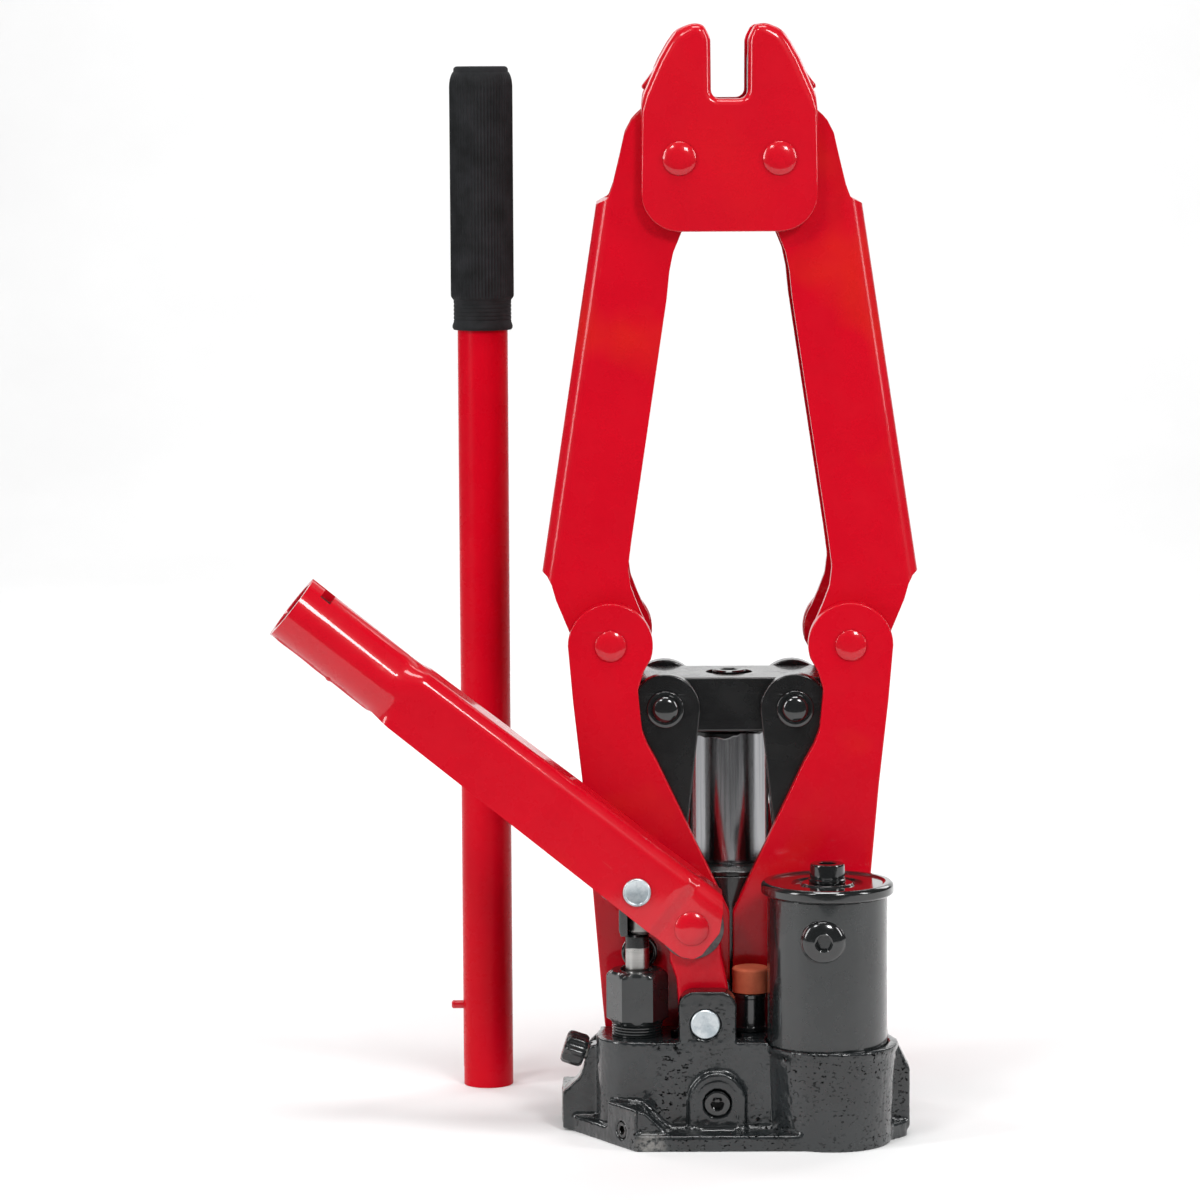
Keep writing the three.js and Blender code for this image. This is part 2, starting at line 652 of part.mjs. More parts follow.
function pumpLever() {
  const side = leverPlate([
    [56, LEVER_LIP], [257.8, LEVER_LIP], [263.6, -12.5], [LEVER_LENGTH, -8], [LEVER_LENGTH, 6],
    [260, 15.8], [255.5, LEVER_TOP + 0.8], [190, LEVER_TOP], [66, 17.3], [56, 16.5],
  ], LEVER_HALF);
  const channel = side.intersect(leverSlab(leverPlan(LEVER_HALF, 50, 280, 0), -30, 40))
    .intersect(leverBend());
  const inner = leverPlate([
    [66, -40], [280, -40], [280, LEVER_TOP - LEVER_WALL], [190, LEVER_TOP - LEVER_WALL],
    [66, 17.3 - LEVER_WALL],
  ], LEVER_HALF).intersect(leverSlab(leverPlan(LEVER_HALF - LEVER_WALL, 64, 282, -2), -50, 40));
  const socket = leverRod(LEVER_HALF + 0.3, 0, SOCKET_LENGTH);
  const notch = leverPlate([[-2, 8], [9, 8], [9, 22], [-2, 22]], 2.7);
  return cut(
    join(channel, socket), inner, leverRod(13.2, -5, 58), notch,
    rodAlongY(FULCRUM.x, FULCRUM.z, PIN_R + GAP, -90, -40),
    rodAlongY(PUMP_PIN.x, PUMP_PIN.z, 3.8 + GAP, -90, -40),
  );
}

// A long bar with two rounded upper corners, which trims the lever's folded edges.
function leverBend() {
  const r = 8;
  const high = LEVER_TOP + 1.2;
  const section = [
    [-30, -LEVER_HALF - 1], [-30, LEVER_HALF + 1], [high - r, LEVER_HALF + 1],
    ...arc(high - r, LEVER_HALF - r, r, 90, 0, 4), ...arc(high - r, r - LEVER_HALF, r, 0, -90, 4),
    [high - r, -LEVER_HALF - 1],
  ];
  const geometry = extruded(section, 300);
  geometry.applyMatrix4(new THREE.Matrix4().makeBasis(
    new THREE.Vector3(0, 0, 1), new THREE.Vector3(0, 1, 0), new THREE.Vector3(-1, 0, 0),
  ));
  geometry.translate(290, 0, 0);
  return solid(geometry.applyMatrix4(onLever));
}

function fulcrumPin() {
  const nose = LEVER_HALF - JOGGLE_IN;
  const outer = nose + 2.4;
  return turnedAlongY([
    [0, PUMP.y - outer], [6, PUMP.y - outer], [8.4, PUMP.y - nose - 1], [8.4, PUMP.y - nose - GAP],
    [PIN_R, PUMP.y - nose - GAP], [PIN_R, PUMP.y + nose + GAP], [8.4, PUMP.y + nose + GAP],
    [8.4, PUMP.y + nose + 1], [6, PUMP.y + outer], [0, PUMP.y + outer],
  ], FULCRUM.x, FULCRUM.z);
}

function fulcrumWasher(front) {
  const near = LINK_BLOCK_HALF + GAP;
  const far = near + 1.8;
  const [y0, y1] = front ? [PUMP.y - far, PUMP.y - near] : [PUMP.y + near, PUMP.y + far];
  return cut(
    rodAlongY(FULCRUM.x, FULCRUM.z, 16, y0, y1), rodAlongY(FULCRUM.x, FULCRUM.z, PIN_R + GAP, -90, -30),
  );
}

function plungerPin() {
  const face = LEVER_HALF + GAP;
  return turnedAlongY([
    [0, PUMP.y - face - 1.6], [6.2, PUMP.y - face - 1.6], [7, PUMP.y - face - 0.8], [7, PUMP.y - face],
    [3.8, PUMP.y - face], [3.8, PUMP.y + LEVER_HALF - 0.4], [0, PUMP.y + LEVER_HALF - 0.4],
  ], PUMP_PIN.x, PUMP_PIN.z);
}

function plunger() {
  const rod = rodAlongZ(PUMP.x, PUMP.y, PLUNGER_R, 46, 102);
  const clevis = plate([
    [-8, 101], [8, 101], [9, 104], ...arc(0, 126, 9, 0, 180, 6), [-9, 104],
  ].map(([x, z]) => [PUMP.x + x, z]), PUMP.y - 8, PUMP.y + 8);
  return cut(join(rod, clevis), rodAlongY(PUMP_PIN.x, PUMP_PIN.z, 5.9, -90, -40));
}

// ---- Loose handle ----
function handleTube() {
  const tube = ring([[10.6, 0], [HANDLE_R, 0], [HANDLE_R, 520], [10.6, 520]], 0, 0);
  const notch = block(-14, -6, -2.6, 2.6, -2, 10.5);
  return cut(tube, notch, solid(new THREE.CylinderGeometry(2.5, 2.5, 12, 12).rotateZ(Math.PI / 2)
    .translate(-12, 0, 42)));
}

function handleGrip() {
  const wall = HANDLE_R + GAP;
  return turned([
    [wall, 394.6], [15, 394.6], [15.5, 396.6], [14.8, 398.6], [14.8, 409.5], [16.2, 411.4], [16.2, 521],
    [15.6, 524.6], [14.1, 526.6], [13.7, 528.4], [12.4, HANDLE_TOP], [0, HANDLE_TOP], [0, 520.3],
    [wall, 520.3], [wall, 394.6],
  ], 0, 0);
}

function handlePeg() {
  return solid(new THREE.CylinderGeometry(2.15, 2.15, 11, 12).rotateZ(Math.PI / 2)
    .translate(-13.4, 0, 42));
}

// ---- Assembly ----
const part = new THREE.Group();

function add(group, name, material, body) {
  const mesh = new THREE.Mesh(geometryOf(body), material());
  mesh.name = name;
  group.add(mesh);
  return mesh;
}

function subGroup(x = 0, y = 0, z = 0) {
  const group = new THREE.Group();
  group.position.set(x, y, z);
  part.add(group);
  return group;
}

function addPumpBase() {
  const base = subGroup();
  add(base, 'base_casting', blackPaint, baseCasting());
  add(base, 'main_cylinder', blackPaint, mainCylinder());
  add(base, 'cylinder_gland', blackPaint, cylinderGland());
  add(base, 'ram_return_spring', steel, returnSpring());
  add(base, 'base_plug', steel, basePlug());
  add(base, 'corner_plug', steel, cornerPlug());
  add(base, 'lug_pin', zinc, lugPin());
  for (const [side, word] of [[-1, 'left'], [1, 'right']]) {
    add(base, `base_pivot_pin_${word}`, steel,
      rodAlongY(side * BASE_PIVOT.x, BASE_PIVOT.z, BASE_PIN_R, -46, 46));
  }
  const tank = subGroup(TANK.x, TANK.y);
  add(tank, 'reservoir_tube', blackPaint, reservoirTube());
  add(tank, 'reservoir_cap', blackPaint, reservoirCap());
  add(tank, 'filler_screw', blackPaint, fillerScrew());
  add(base, 'reservoir_side_plug', blackPaint, sidePlug());
  const relief = subGroup(RELIEF.x, RELIEF.y);
  add(relief, 'relief_valve_body', blackPaint, reliefBody());
  add(relief, 'relief_valve_cap', orangeRubber, reliefCap());
  const pump = subGroup(PUMP.x, PUMP.y);
  add(pump, 'pump_gland_nut', blackPaint, pumpGlandNut());
  add(pump, 'plunger_seal', rubber, pumpSeal());
  add(base, 'release_valve_stem', steel, releaseStem());
  add(base, 'release_valve_knob', blackPaint, releaseKnob());
}

function addRam() {
  const ram = subGroup();
  add(ram, 'ram_rod', chrome, ramRod());
  add(ram, 'ram_piston', steel, ramPiston());
  add(ram, 'piston_seal', rubber, pistonSeal());
  add(ram, 'crosshead', blackPaint, crosshead());
  add(ram, 'crosshead_screw', steel, crossheadScrew());
}

function addSide(side, word) {
  const arms = subGroup();
  add(arms, `crosshead_pin_${word}`, blackPaint, domedPin(CROSS_PIN, side, PIN_R, 9, FLANGE_OUT + GAP, 3));
  add(arms, `link_${word}_front`, blackPaint, link(side, true));
  add(arms, `link_${word}_rear`, blackPaint, link(side, false));
  add(arms, `lower_arm_${word}_front`, redPaint, lowerArmPlate(side, true));
  add(arms, `lower_arm_${word}_rear`, redPaint, lowerArmPlate(side, false));
  add(arms, `link_pin_${word}`, blackPaint, domedPin(LINK_PIN, side, PIN_R - 0.6, 9, PLATE_OUT + GAP, 3));
  add(arms, `tie_bolt_${word}`, zinc, tieBolt(side));
  add(arms, `knee_pin_${word}`, redPaint, domedPin(KNEE, side, PIN_R, 7.6, PLATE_OUT + GAP, 1.4));
  add(arms, `upper_arm_${word}`, redPaint, upperArm(side));
  add(arms, `jaw_${word}`, bladeSteel, jaw(side));
  add(arms, `head_pin_${word}`, redPaint, domedPin(HEAD_PIVOT, side, PIN_R, 8.3, PLATE_OUT + GAP, 2));
}

function addHead() {
  const head = subGroup();
  add(head, 'head_plate_front', redPaint, headPlate(true));
  add(head, 'head_plate_rear', redPaint, headPlate(false));
}

function addPumpLever() {
  const linkage = subGroup();
  add(linkage, 'fulcrum_link', redPaint, fulcrumLink());
  add(linkage, 'fulcrum_washer_front', steel, fulcrumWasher(true));
  add(linkage, 'fulcrum_washer_rear', steel, fulcrumWasher(false));
  add(linkage, 'pump_lever', redPaint, pumpLever());
  add(linkage, 'fulcrum_pin', redPaint, fulcrumPin());
  add(linkage, 'plunger_pin', zinc, plungerPin());
  add(linkage, 'plunger', steel, plunger());
}

function addHandle() {
  const handle = subGroup(HANDLE.x, HANDLE.y);
  add(handle, 'handle_tube', redPaint, handleTube());
  add(handle, 'handle_grip', rubber, handleGrip());
  add(handle, 'handle_peg', redPaint, handlePeg());
}

addPumpBase();
addRam();
addSide(-1, 'left');
addSide(1, 'right');
addHead();
addPumpLever();
addHandle();

export default part;
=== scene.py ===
"""Looks for the hydraulic bolt cutters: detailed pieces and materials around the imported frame.

Shapes are written in millimetres in the row frame, X to the right, Z up and the front facing -Y,
and are scaled to metres when a piece is finished.
"""

import math

import bmesh
import bpy
from mathutils import Euler, Matrix, Vector
from mathutils.geometry import tessellate_polygon


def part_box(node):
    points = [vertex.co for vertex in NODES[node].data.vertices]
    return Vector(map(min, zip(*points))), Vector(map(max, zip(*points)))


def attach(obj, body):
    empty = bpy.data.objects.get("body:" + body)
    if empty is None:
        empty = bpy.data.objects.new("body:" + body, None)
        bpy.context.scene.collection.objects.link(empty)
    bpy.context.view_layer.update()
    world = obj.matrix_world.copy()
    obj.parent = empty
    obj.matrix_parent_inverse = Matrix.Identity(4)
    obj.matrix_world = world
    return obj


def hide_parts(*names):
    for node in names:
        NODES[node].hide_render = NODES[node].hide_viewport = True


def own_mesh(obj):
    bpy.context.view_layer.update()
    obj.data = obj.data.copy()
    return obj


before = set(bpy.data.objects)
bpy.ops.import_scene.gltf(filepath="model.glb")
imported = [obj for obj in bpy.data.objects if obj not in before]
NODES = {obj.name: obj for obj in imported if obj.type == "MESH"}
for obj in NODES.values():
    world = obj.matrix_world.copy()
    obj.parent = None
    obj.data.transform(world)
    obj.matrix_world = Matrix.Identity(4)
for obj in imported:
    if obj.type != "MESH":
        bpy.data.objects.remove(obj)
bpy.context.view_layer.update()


def at(x, y, z=0):
    return Matrix.Translation((x, y, z))


def spin(angle, axis):
    """A turn about an axis, in degrees."""
    return Matrix.Rotation(math.radians(angle), 4, axis)


MM = 0.001
SIDES = ((-1, "left"), (1, "right"))

# ---- Places shared with the frame, in millimetres ----
KNEE = (59.8, 242.2)
HEAD_PIVOT = (24.7, 483.8)
CROSS_PIN = (32.5, 209.3)
LINK_PIN = (46, 88)
BASE_PIVOT = (20, 42)
TIE = (59.5, 121)
PLATE_IN = 33.6
PLATE_OUT = 41.6
FLANGE_IN = 27.3
FLANGE_OUT = 33.3
LINK_IN = 24.3
PUMP = (-47.2, -63)
PUMP_PIN = (-47.2, 125)
FULCRUM = (-20.2, 106.3)
LUG_PIN = (-13.7, 59.7)
TANK = (46.6, -77)
COLLAR_X = 48.5
RELIEF = (9.3, -53.8)
BASE_PLUG = (-8, 20.5)
FRONT_FACE = -85.5
WALL_BACK = -43
HANDLE = (-125, 55.4)
VALVE = at(-81.7, -48.5, 41.4) @ spin(108, "Y")
LEVER = at(-217.2, PUMP[1], 265.8) @ spin(38.8, "Y")
CORNER = at(-55.6, -92.6, 8.6) @ spin(-56.5, "Z") @ spin(-90, "X")
TO_FRONT = spin(90, "X")
TO_SIDE = spin(90, "Y")
FACES = (("front", Matrix.Identity(4)), ("rear", Matrix.Diagonal((1, -1, 1, 1))))

# ---- Sizes that several pieces share, in millimetres ----
PIN = 6.4
PIN_HOLE = 6.7
LOOSE_HOLE = 7.6
RIVET_FOOT = 41.9
LUG_BACK = WALL_BACK - 0.4
EDGE = 0.4


# ---- Outlines ----
def arc(x, z, r, start, end, steps):
    """Points on a circle from one angle to another, in degrees."""
    turns = [math.radians(start + (end - start) * i / steps) for i in range(steps + 1)]
    return [(x + r * math.cos(t), z + r * math.sin(t)) for t in turns]


def rounded(points, radius=0, steps=5, closed=True):
    """An outline with rounded corners. A third number in a point is its own radius.

    Corners flatter than 'straight' stay, and a round takes up no more than its share of a side.
    """
    straight = math.radians(174)
    share = 0.48
    out = []
    last = len(points) - 1
    for i, corner in enumerate(points):
        r = corner[2] if len(corner) > 2 else radius
        here = Vector(corner[:2])
        if r <= 0 or (not closed and i in (0, last)):
            out.append(tuple(here))
            continue
        back = Vector(points[i - 1][:2]) - here
        onward = Vector(points[(i + 1) % len(points)][:2]) - here
        if min(back.length, onward.length) < 1e-6:
            continue
        angle = back.angle(onward)
        if angle > straight:
            out.append(tuple(here))
            continue
        reach = min(r / math.tan(angle / 2), share * back.length, share * onward.length)
        a = here + back.normalized() * reach
        b = here + onward.normalized() * reach
        bisector = (back.normalized() + onward.normalized()).normalized()
        centre = here + bisector * reach / math.cos(angle / 2)
        first, second = a - centre, b - centre
        sweep = math.atan2(first.x * second.y - first.y * second.x, first.dot(second))
        for k in range(steps + 1):
            t = sweep * k / steps
            x = first.x * math.cos(t) - first.y * math.sin(t)
            y = first.x * math.sin(t) + first.y * math.cos(t)
            out.append((centre.x + x, centre.y + y))
    return out


def mirrored(points, side):
    """The points on the given side, -1 for the left and 1 for the right."""
    return [(side * p[0], *p[1:]) for p in points]


def ramp(value, start, end):
    """0 at the start, 1 at the end, and even between them."""
    return min(max((value - start) / (end - start), 0), 1)


def eased(share):
    """A share of 0 to 1 with a soft start and end."""
    return share * share * (3 - 2 * share)


def aside(place, side):
    """An (x, z) place on the given side."""
    return side * place[0], place[1]


def counterclockwise(points):
    """The outline without repeated points, in counterclockwise order."""
    kept = [p for i, p in enumerate(points) if (Vector(p[:2]) - Vector(points[i - 1][:2])).length > 1e-4]
    area = sum(a[0] * b[1] - b[0] * a[1] for a, b in zip(kept, kept[1:] + kept[:1]))
    return kept if area > 0 else kept[::-1]


def inward(points):
    """For each point of a counterclockwise outline, the step that moves its edges in by one."""
    steps = []
    for i, p in enumerate(points):
        here = Vector(p[:2])
        a = (here - Vector(points[i - 1][:2])).normalized()
        b = (Vector(points[(i + 1) % len(points)][:2]) - here).normalized()
        normal = Vector((-a.y - b.y, a.x + b.x)).normalized()
        steps.append(normal / max(normal.dot(Vector((-a.y, a.x))), 0.5))
    return steps


# ---- Meshes ----
class Shape:
    """Points and faces in millimetres."""

    def __init__(self):
        self.points = []
        self.faces = []

    def ring(self, points):
        start = len(self.points)
        self.points += [Vector(p) for p in points]
        return range(start, start + len(points))

    def loft(self, rings, ends=True):
        """Joins closed rings with the same number of points."""
        made = [self.ring(r) for r in rings]
        n = len(made[0])
        for a, b in zip(made, made[1:]):
            self.faces += [(a[i], a[(i + 1) % n], b[(i + 1) % n], b[i]) for i in range(n)]
        if ends:
            self.faces += [tuple(made[0]), tuple(made[-1])]
        return made

    def cap(self, rings):
        """Fills the area between an outer ring and any hole rings."""
        order = [i for r in rings for i in r]
        loops = [[self.points[i] for i in r] for r in rings]
        self.faces += [tuple(order[i] for i in face) for face in tessellate_polygon(loops)]

    def moved(self, matrix):
        self.points = [matrix @ p for p in self.points]
        return self


def lofted(rings, ends=True):
    """A shape through rings of points, with or without end faces."""
    shape = Shape()
    shape.loft(rings, ends)
    return shape


def plate(outline, y0, y1, radius=0.7, holes=(), steps=3, rear=None):
    """An (x, z) outline from y0 to y1 with rounded edges; radius may be a function of the point."""
    shape = Shape()
    loop = counterclockwise(outline)
    normals = inward(loop)
    front = [radius(p) if callable(radius) else radius for p in loop]
    back = front if rear is None else [rear] * len(loop)
    rings = []
    for y, way, radii in ((y0, 1, front), (y1, -1, back)):
        rounds = []
        for k in range(steps + 1):
            t = math.pi / 2 * k / steps
            sides, depths = 1 - math.sin(t), 1 - math.cos(t)
            rounds.append([
                (p[0] + n.x * r * sides, y + way * r * depths, p[1] + n.y * r * sides)
                for p, n, r in zip(loop, normals, radii)
            ])
        if any(radii):
            rounds.insert(0, [
                (p[0] + n.x * (r + EDGE), y, p[1] + n.y * (r + EDGE))
                for p, n, r in zip(loop, normals, radii)
            ])
        rings += rounds[::way]
    made = shape.loft(rings, ends=False)
    fronts, backs = [made[0]], [made[-1]]
    for x, z, r in holes:
        bore = [(r + EDGE, y0), (r, y0 + EDGE), (r, y1 - EDGE), (r + EDGE, y1)]
        rings = [[(a, y, b) for a, b in arc(x, z, size, 0, 352.5, 47)] for size, y in bore]
        cut = shape.loft(rings, ends=False)
        fronts.append(cut[0])
        backs.append(cut[-1])
    shape.cap(fronts)
    shape.cap(backs)
    return shape


def slab(outline, z0, z1):
    """An (x, y) outline from z0 to z1, with sharp edges."""
    flat = plate([(x, -y) for x, y in outline], z0, z1, 0)
    return flat.moved(Matrix(((1, 0, 0, 0), (0, 0, -1, 0), (0, 1, 0, 0), (0, 0, 0, 1))))


def radius_at(entry, turn):
    """A profile entry's radius at a turn; its third number is the half width across flats."""
    if len(entry) < 3 or entry[2] is None:
        return entry[0]
    off = (turn % (math.pi / 3)) - math.pi / 6
    return min(entry[0], entry[2] / math.cos(off))


def lathe(profile, steps=60, ribs=0, depth=0, closed=False):
    """(radius, height) entries turned about the Z axis, with shallow lengthwise ribs if asked."""
    rings = []
    for entry in profile:
        ring = []
        for i in range(steps):
            turn = 2 * math.pi * i / steps
            r = radius_at(entry, turn)
            if ribs and len(entry) > 3:
                r -= depth * entry[3] * (0.5 - 0.5 * math.cos(ribs * turn)) ** 0.7
            ring.append((r * math.cos(turn), r * math.sin(turn), entry[1]))
        rings.append(ring)
    if closed:
        rings.append(rings[0])
    return lofted(rings, ends=False)


def turned(points, radius=0.6, steps=60, closed=False):
    """A lathe shape whose profile has rounded corners."""
    return lathe(rounded(points, radius, 4, closed), steps, closed=closed)


def bead(centre, out, across, sides):
    """A ring of points about a centre, spanned by two directions."""
    turns = [2 * math.pi * i / sides for i in range(sides)]
    return [centre + out * math.cos(t) + across * math.sin(t) for t in turns]


def rod(r, z0, z1, steps=40):
    return lathe([(0, z0), (r, z0), (r, z1), (0, z1)], steps)


def box(x0, x1, y0, y1, z0, z1):
    return slab([(x0, y0), (x1, y0), (x1, y1), (x0, y1)], z0, z1)


def to_front(pivot, y=0):
    """Turns a lathe's +Z to face the front, through (x, z) at depth y."""
    return Matrix.Translation((pivot[0], y, pivot[1])) @ TO_FRONT


# ---- Work objects and finished pieces ----
def work(shape):
    """A temporary object, in millimetres, with clean outward faces."""
    mesh = bpy.data.meshes.new("work")
    mesh.from_pydata([tuple(p) for p in shape.points], [], shape.faces)
    bm = bmesh.new()
    bm.from_mesh(mesh)
    bmesh.ops.remove_doubles(bm, verts=bm.verts, dist=2e-4)
    bmesh.ops.recalc_face_normals(bm, faces=bm.faces)
    bm.to_mesh(mesh)
    bm.free()
    obj = bpy.data.objects.new("work", mesh)
    bpy.context.scene.collection.objects.link(obj)
    return obj


def modify(obj, kind, **settings):
    """Adds a modifier with the given settings."""
    modifier = obj.modifiers.new(kind, kind)
    for key, value in settings.items():
        setattr(modifier, key, value)
    return obj


def settle(obj):
    """Makes the modifiers' result the object's own mesh."""
    bpy.context.view_layer.update()
    seen = obj.evaluated_get(bpy.context.evaluated_depsgraph_get())
    mesh = bpy.data.meshes.new_from_object(seen)
    obj.modifiers.clear()
    obj.data = mesh
    return obj


def carve(obj, tools, operation="DIFFERENCE"):
    """Cuts the tools out of the object, or joins or crosses them with it."""
    cutters = [work(t) for t in tools]
    for cutter in cutters:
        modify(obj, "BOOLEAN", operation=operation, object=cutter, solver="EXACT")
    settle(obj)
    for cutter in cutters:
        bpy.data.objects.remove(cutter)
    return obj


def soften(obj, width, angle=38):
    """Rounds the edges that are sharper than the angle, in degrees."""
    return settle(modify(
        obj, "BEVEL", width=width, segments=2, limit_method="ANGLE",
        angle_limit=math.radians(angle), miter_outer="MITER_ARC",
    ))


def scaled(obj, name, material):
    """Scales a work object to metres and gives it its name and material."""
    obj.name = name
    obj.data.name = name
    obj.data.transform(Matrix.Scale(MM, 4))
    obj.data.polygons.foreach_set("use_smooth", [True] * len(obj.data.polygons))
    obj.data.materials.clear()
    obj.data.materials.append(material)


def piece(obj, name, body, material, nodes=(), sharp=50):
    """Makes the shape or work object a piece of its body that stands for its CAD nodes."""
    if isinstance(obj, Shape):
        obj = work(obj)
    scaled(obj, name, material)
    if sharp:
        obj.data.set_sharp_from_angle(angle=math.radians(sharp))
    modify(obj, "WEIGHTED_NORMAL", keep_sharp=True)
    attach(obj, body)
    if nodes:
        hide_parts(*nodes)
    return obj


# ---- Materials ----
def linear(color):
    """The shader's colour for a screen colour."""
    shares = [v / 255 for v in color]
    return (*(v / 12.92 if v <= 0.04045 else ((v + 0.055) / 1.055) ** 2.4 for v in shares), 1)


class Graph:
    """Builds one procedural material around its Principled shader."""

    def __init__(self, name, **settings):
        self.material = bpy.data.materials.new(name)
        self.material.use_nodes = True
        self.tree = self.material.node_tree
        self.shader = self.tree.nodes["Principled BSDF"]
        for key, value in settings.items():
            self.shader.inputs[key.replace("_", " ")].default_value = value
        self.place = self.tree.nodes.new("ShaderNodeTexCoord").outputs["Object"]

    def node(self, kind, **inputs):
        made = self.tree.nodes.new("ShaderNode" + kind)
        for key, value in inputs.items():
            self.feed(made.inputs[key.replace("_", " ")], value)
        return made

    def feed(self, socket, value):
        if isinstance(value, bpy.types.NodeSocket):
            self.tree.links.new(value, socket)
        else:
            socket.default_value = value

    def mapped(self, seed, stretch=(1, 1, 1)):
        """The object's own place, moved by the seed and stretched."""
        shift = (seed, seed, seed)
        return self.node("Mapping", Vector=self.place, Scale=stretch, Location=shift).outputs["Vector"]

    def noise(self, scale, detail=3, roughness=0.5, stretch=None, seed=0):
        place = self.mapped(seed, stretch or (1, 1, 1)) if stretch or seed else self.place
        made = self.node("TexNoise", Vector=place, Scale=scale, Detail=detail, Roughness=roughness)
        return made.outputs["Fac"]

    def cells(self, scale, seed=0):
        return self.node("TexVoronoi", Vector=self.mapped(seed), Scale=scale).outputs["Distance"]

    def spread(self, value, low, high, to_low=0, to_high=1):
        made = self.node("MapRange", Value=value, From_Min=low, From_Max=high, To_Min=to_low, To_Max=to_high)
        return made.outputs["Result"]

    def math(self, operation, a, b=0):
        made = self.tree.nodes.new("ShaderNodeMath")
        made.operation = operation
        made.use_clamp = operation in ("ADD", "SUBTRACT", "MULTIPLY")
        self.feed(made.inputs[0], a)
        self.feed(made.inputs[1], b)
        return made.outputs[0]

    def blend(self, factor, a, b):
        """Mixes two colours, which may be (red, green, blue) as on a screen, from 0 to 255."""
        made = self.tree.nodes.new("ShaderNodeMix")
        made.data_type = "RGBA"
        self.feed(made.inputs["Factor"], factor)
        self.feed(made.inputs[6], linear(a) if isinstance(a, tuple) else a)
        self.feed(made.inputs[7], linear(b) if isinstance(b, tuple) else b)
        return made.outputs[2]

    def wear(self, low, high):
        """Near 1 on convex edges."""
        edge = self.node("NewGeometry").outputs["Pointiness"]
        return self.spread(edge, low, high)

    def near(self, centre, reach):
        """1 at a place given in millimetres, falling to 0 at its reach."""
        offset = self.tree.nodes.new("ShaderNodeVectorMath")
        offset.operation = "DISTANCE"
        self.feed(offset.inputs[0], self.place)
        offset.inputs[1].default_value = Vector(centre) * MM
        return self.spread(offset.outputs["Value"], reach * MM, 0.4 * reach * MM)

    def bumps(self, *layers):
        """Stacks (height, strength, distance in mm) layers of bump."""
        normal = None
        for height, strength, distance in layers:
            bump = self.node("Bump", Height=height, Strength=strength, Distance=distance * MM)
            if normal:
                self.tree.links.new(normal, bump.inputs["Normal"])
            normal = bump.outputs["Normal"]
        self.tree.links.new(normal, self.shader.inputs["Normal"])

    def put(self, **inputs):
        """Feeds the shader's own inputs."""
        for key, value in inputs.items():
            self.feed(self.shader.inputs[key.replace("_", " ")], value)


def red_enamel(name, peel=0.12, peel_scale=420, seed=0, cloud=0.4, coat=0.2, shine=0.15, wave=0.1):
    """Red enamel over steel: cloudy warm patches, orange peel, specks and a few rubs on edges."""
    g = Graph(name, Coat_Weight=coat, Coat_Roughness=0.05, Specular_IOR_Level=shine)
    clouds = g.noise(11, 3, 0.5, seed=seed)
    warm = g.spread(clouds, 0.56, 0.68, 0, cloud)
    base = g.blend(warm, (203, 6, 30), (208, 36, 22))
    deep = g.spread(g.noise(26, 3, seed=seed + 3), 0.4, 0.7, 0, 0.3)
    base = g.blend(deep, base, (184, 4, 26))
    specks = g.spread(g.cells(230, seed), 0.05, 0.025, 0, 0.3)
    base = g.blend(specks, base, (120, 20, 24))
    scuffs = g.spread(g.noise(90, 5, 0.7, seed=seed), 0.55, 0.75, 0, 0.45)
    rub = g.math("MULTIPLY", g.wear(0.56, 0.66), scuffs)
    g.put(
        Base_Color=g.blend(rub, base, (226, 120, 112)),
        Roughness=g.spread(g.noise(70, 4, 0.6, seed=seed), 0.3, 0.75, 0.22, 0.36),
    )
    g.bumps((g.noise(peel_scale, 2, 0.5, seed=seed), peel, 0.12), (g.noise(34, 2, seed=seed), wave, 0.4))
    return g.material


def black_enamel(name, dark, light, gloss=0.2, coat=0.5, peel=0.15, seed=0):
    """Smooth dark enamel with fine ripples and dust."""
    g = Graph(name, Coat_Weight=coat, Coat_Roughness=0.04, Specular_IOR_Level=0.5)
    tone = g.spread(g.noise(24, 4, 0.6, seed=seed), 0.35, 0.7)
    base = g.blend(tone, dark, light)
    dust = g.spread(g.cells(310, seed), 0.05, 0.02, 0, 0.35)
    g.put(
        Base_Color=g.blend(dust, base, (92, 96, 98)),
        Roughness=g.spread(g.noise(60, 4, 0.6, seed=seed), 0.3, 0.75, gloss, gloss + 0.14),
    )
    g.bumps((g.noise(260, 3, 0.55, seed=seed), peel, 0.12), (g.noise(45, 2, seed=seed), 0.2, 0.4))
    return g.material


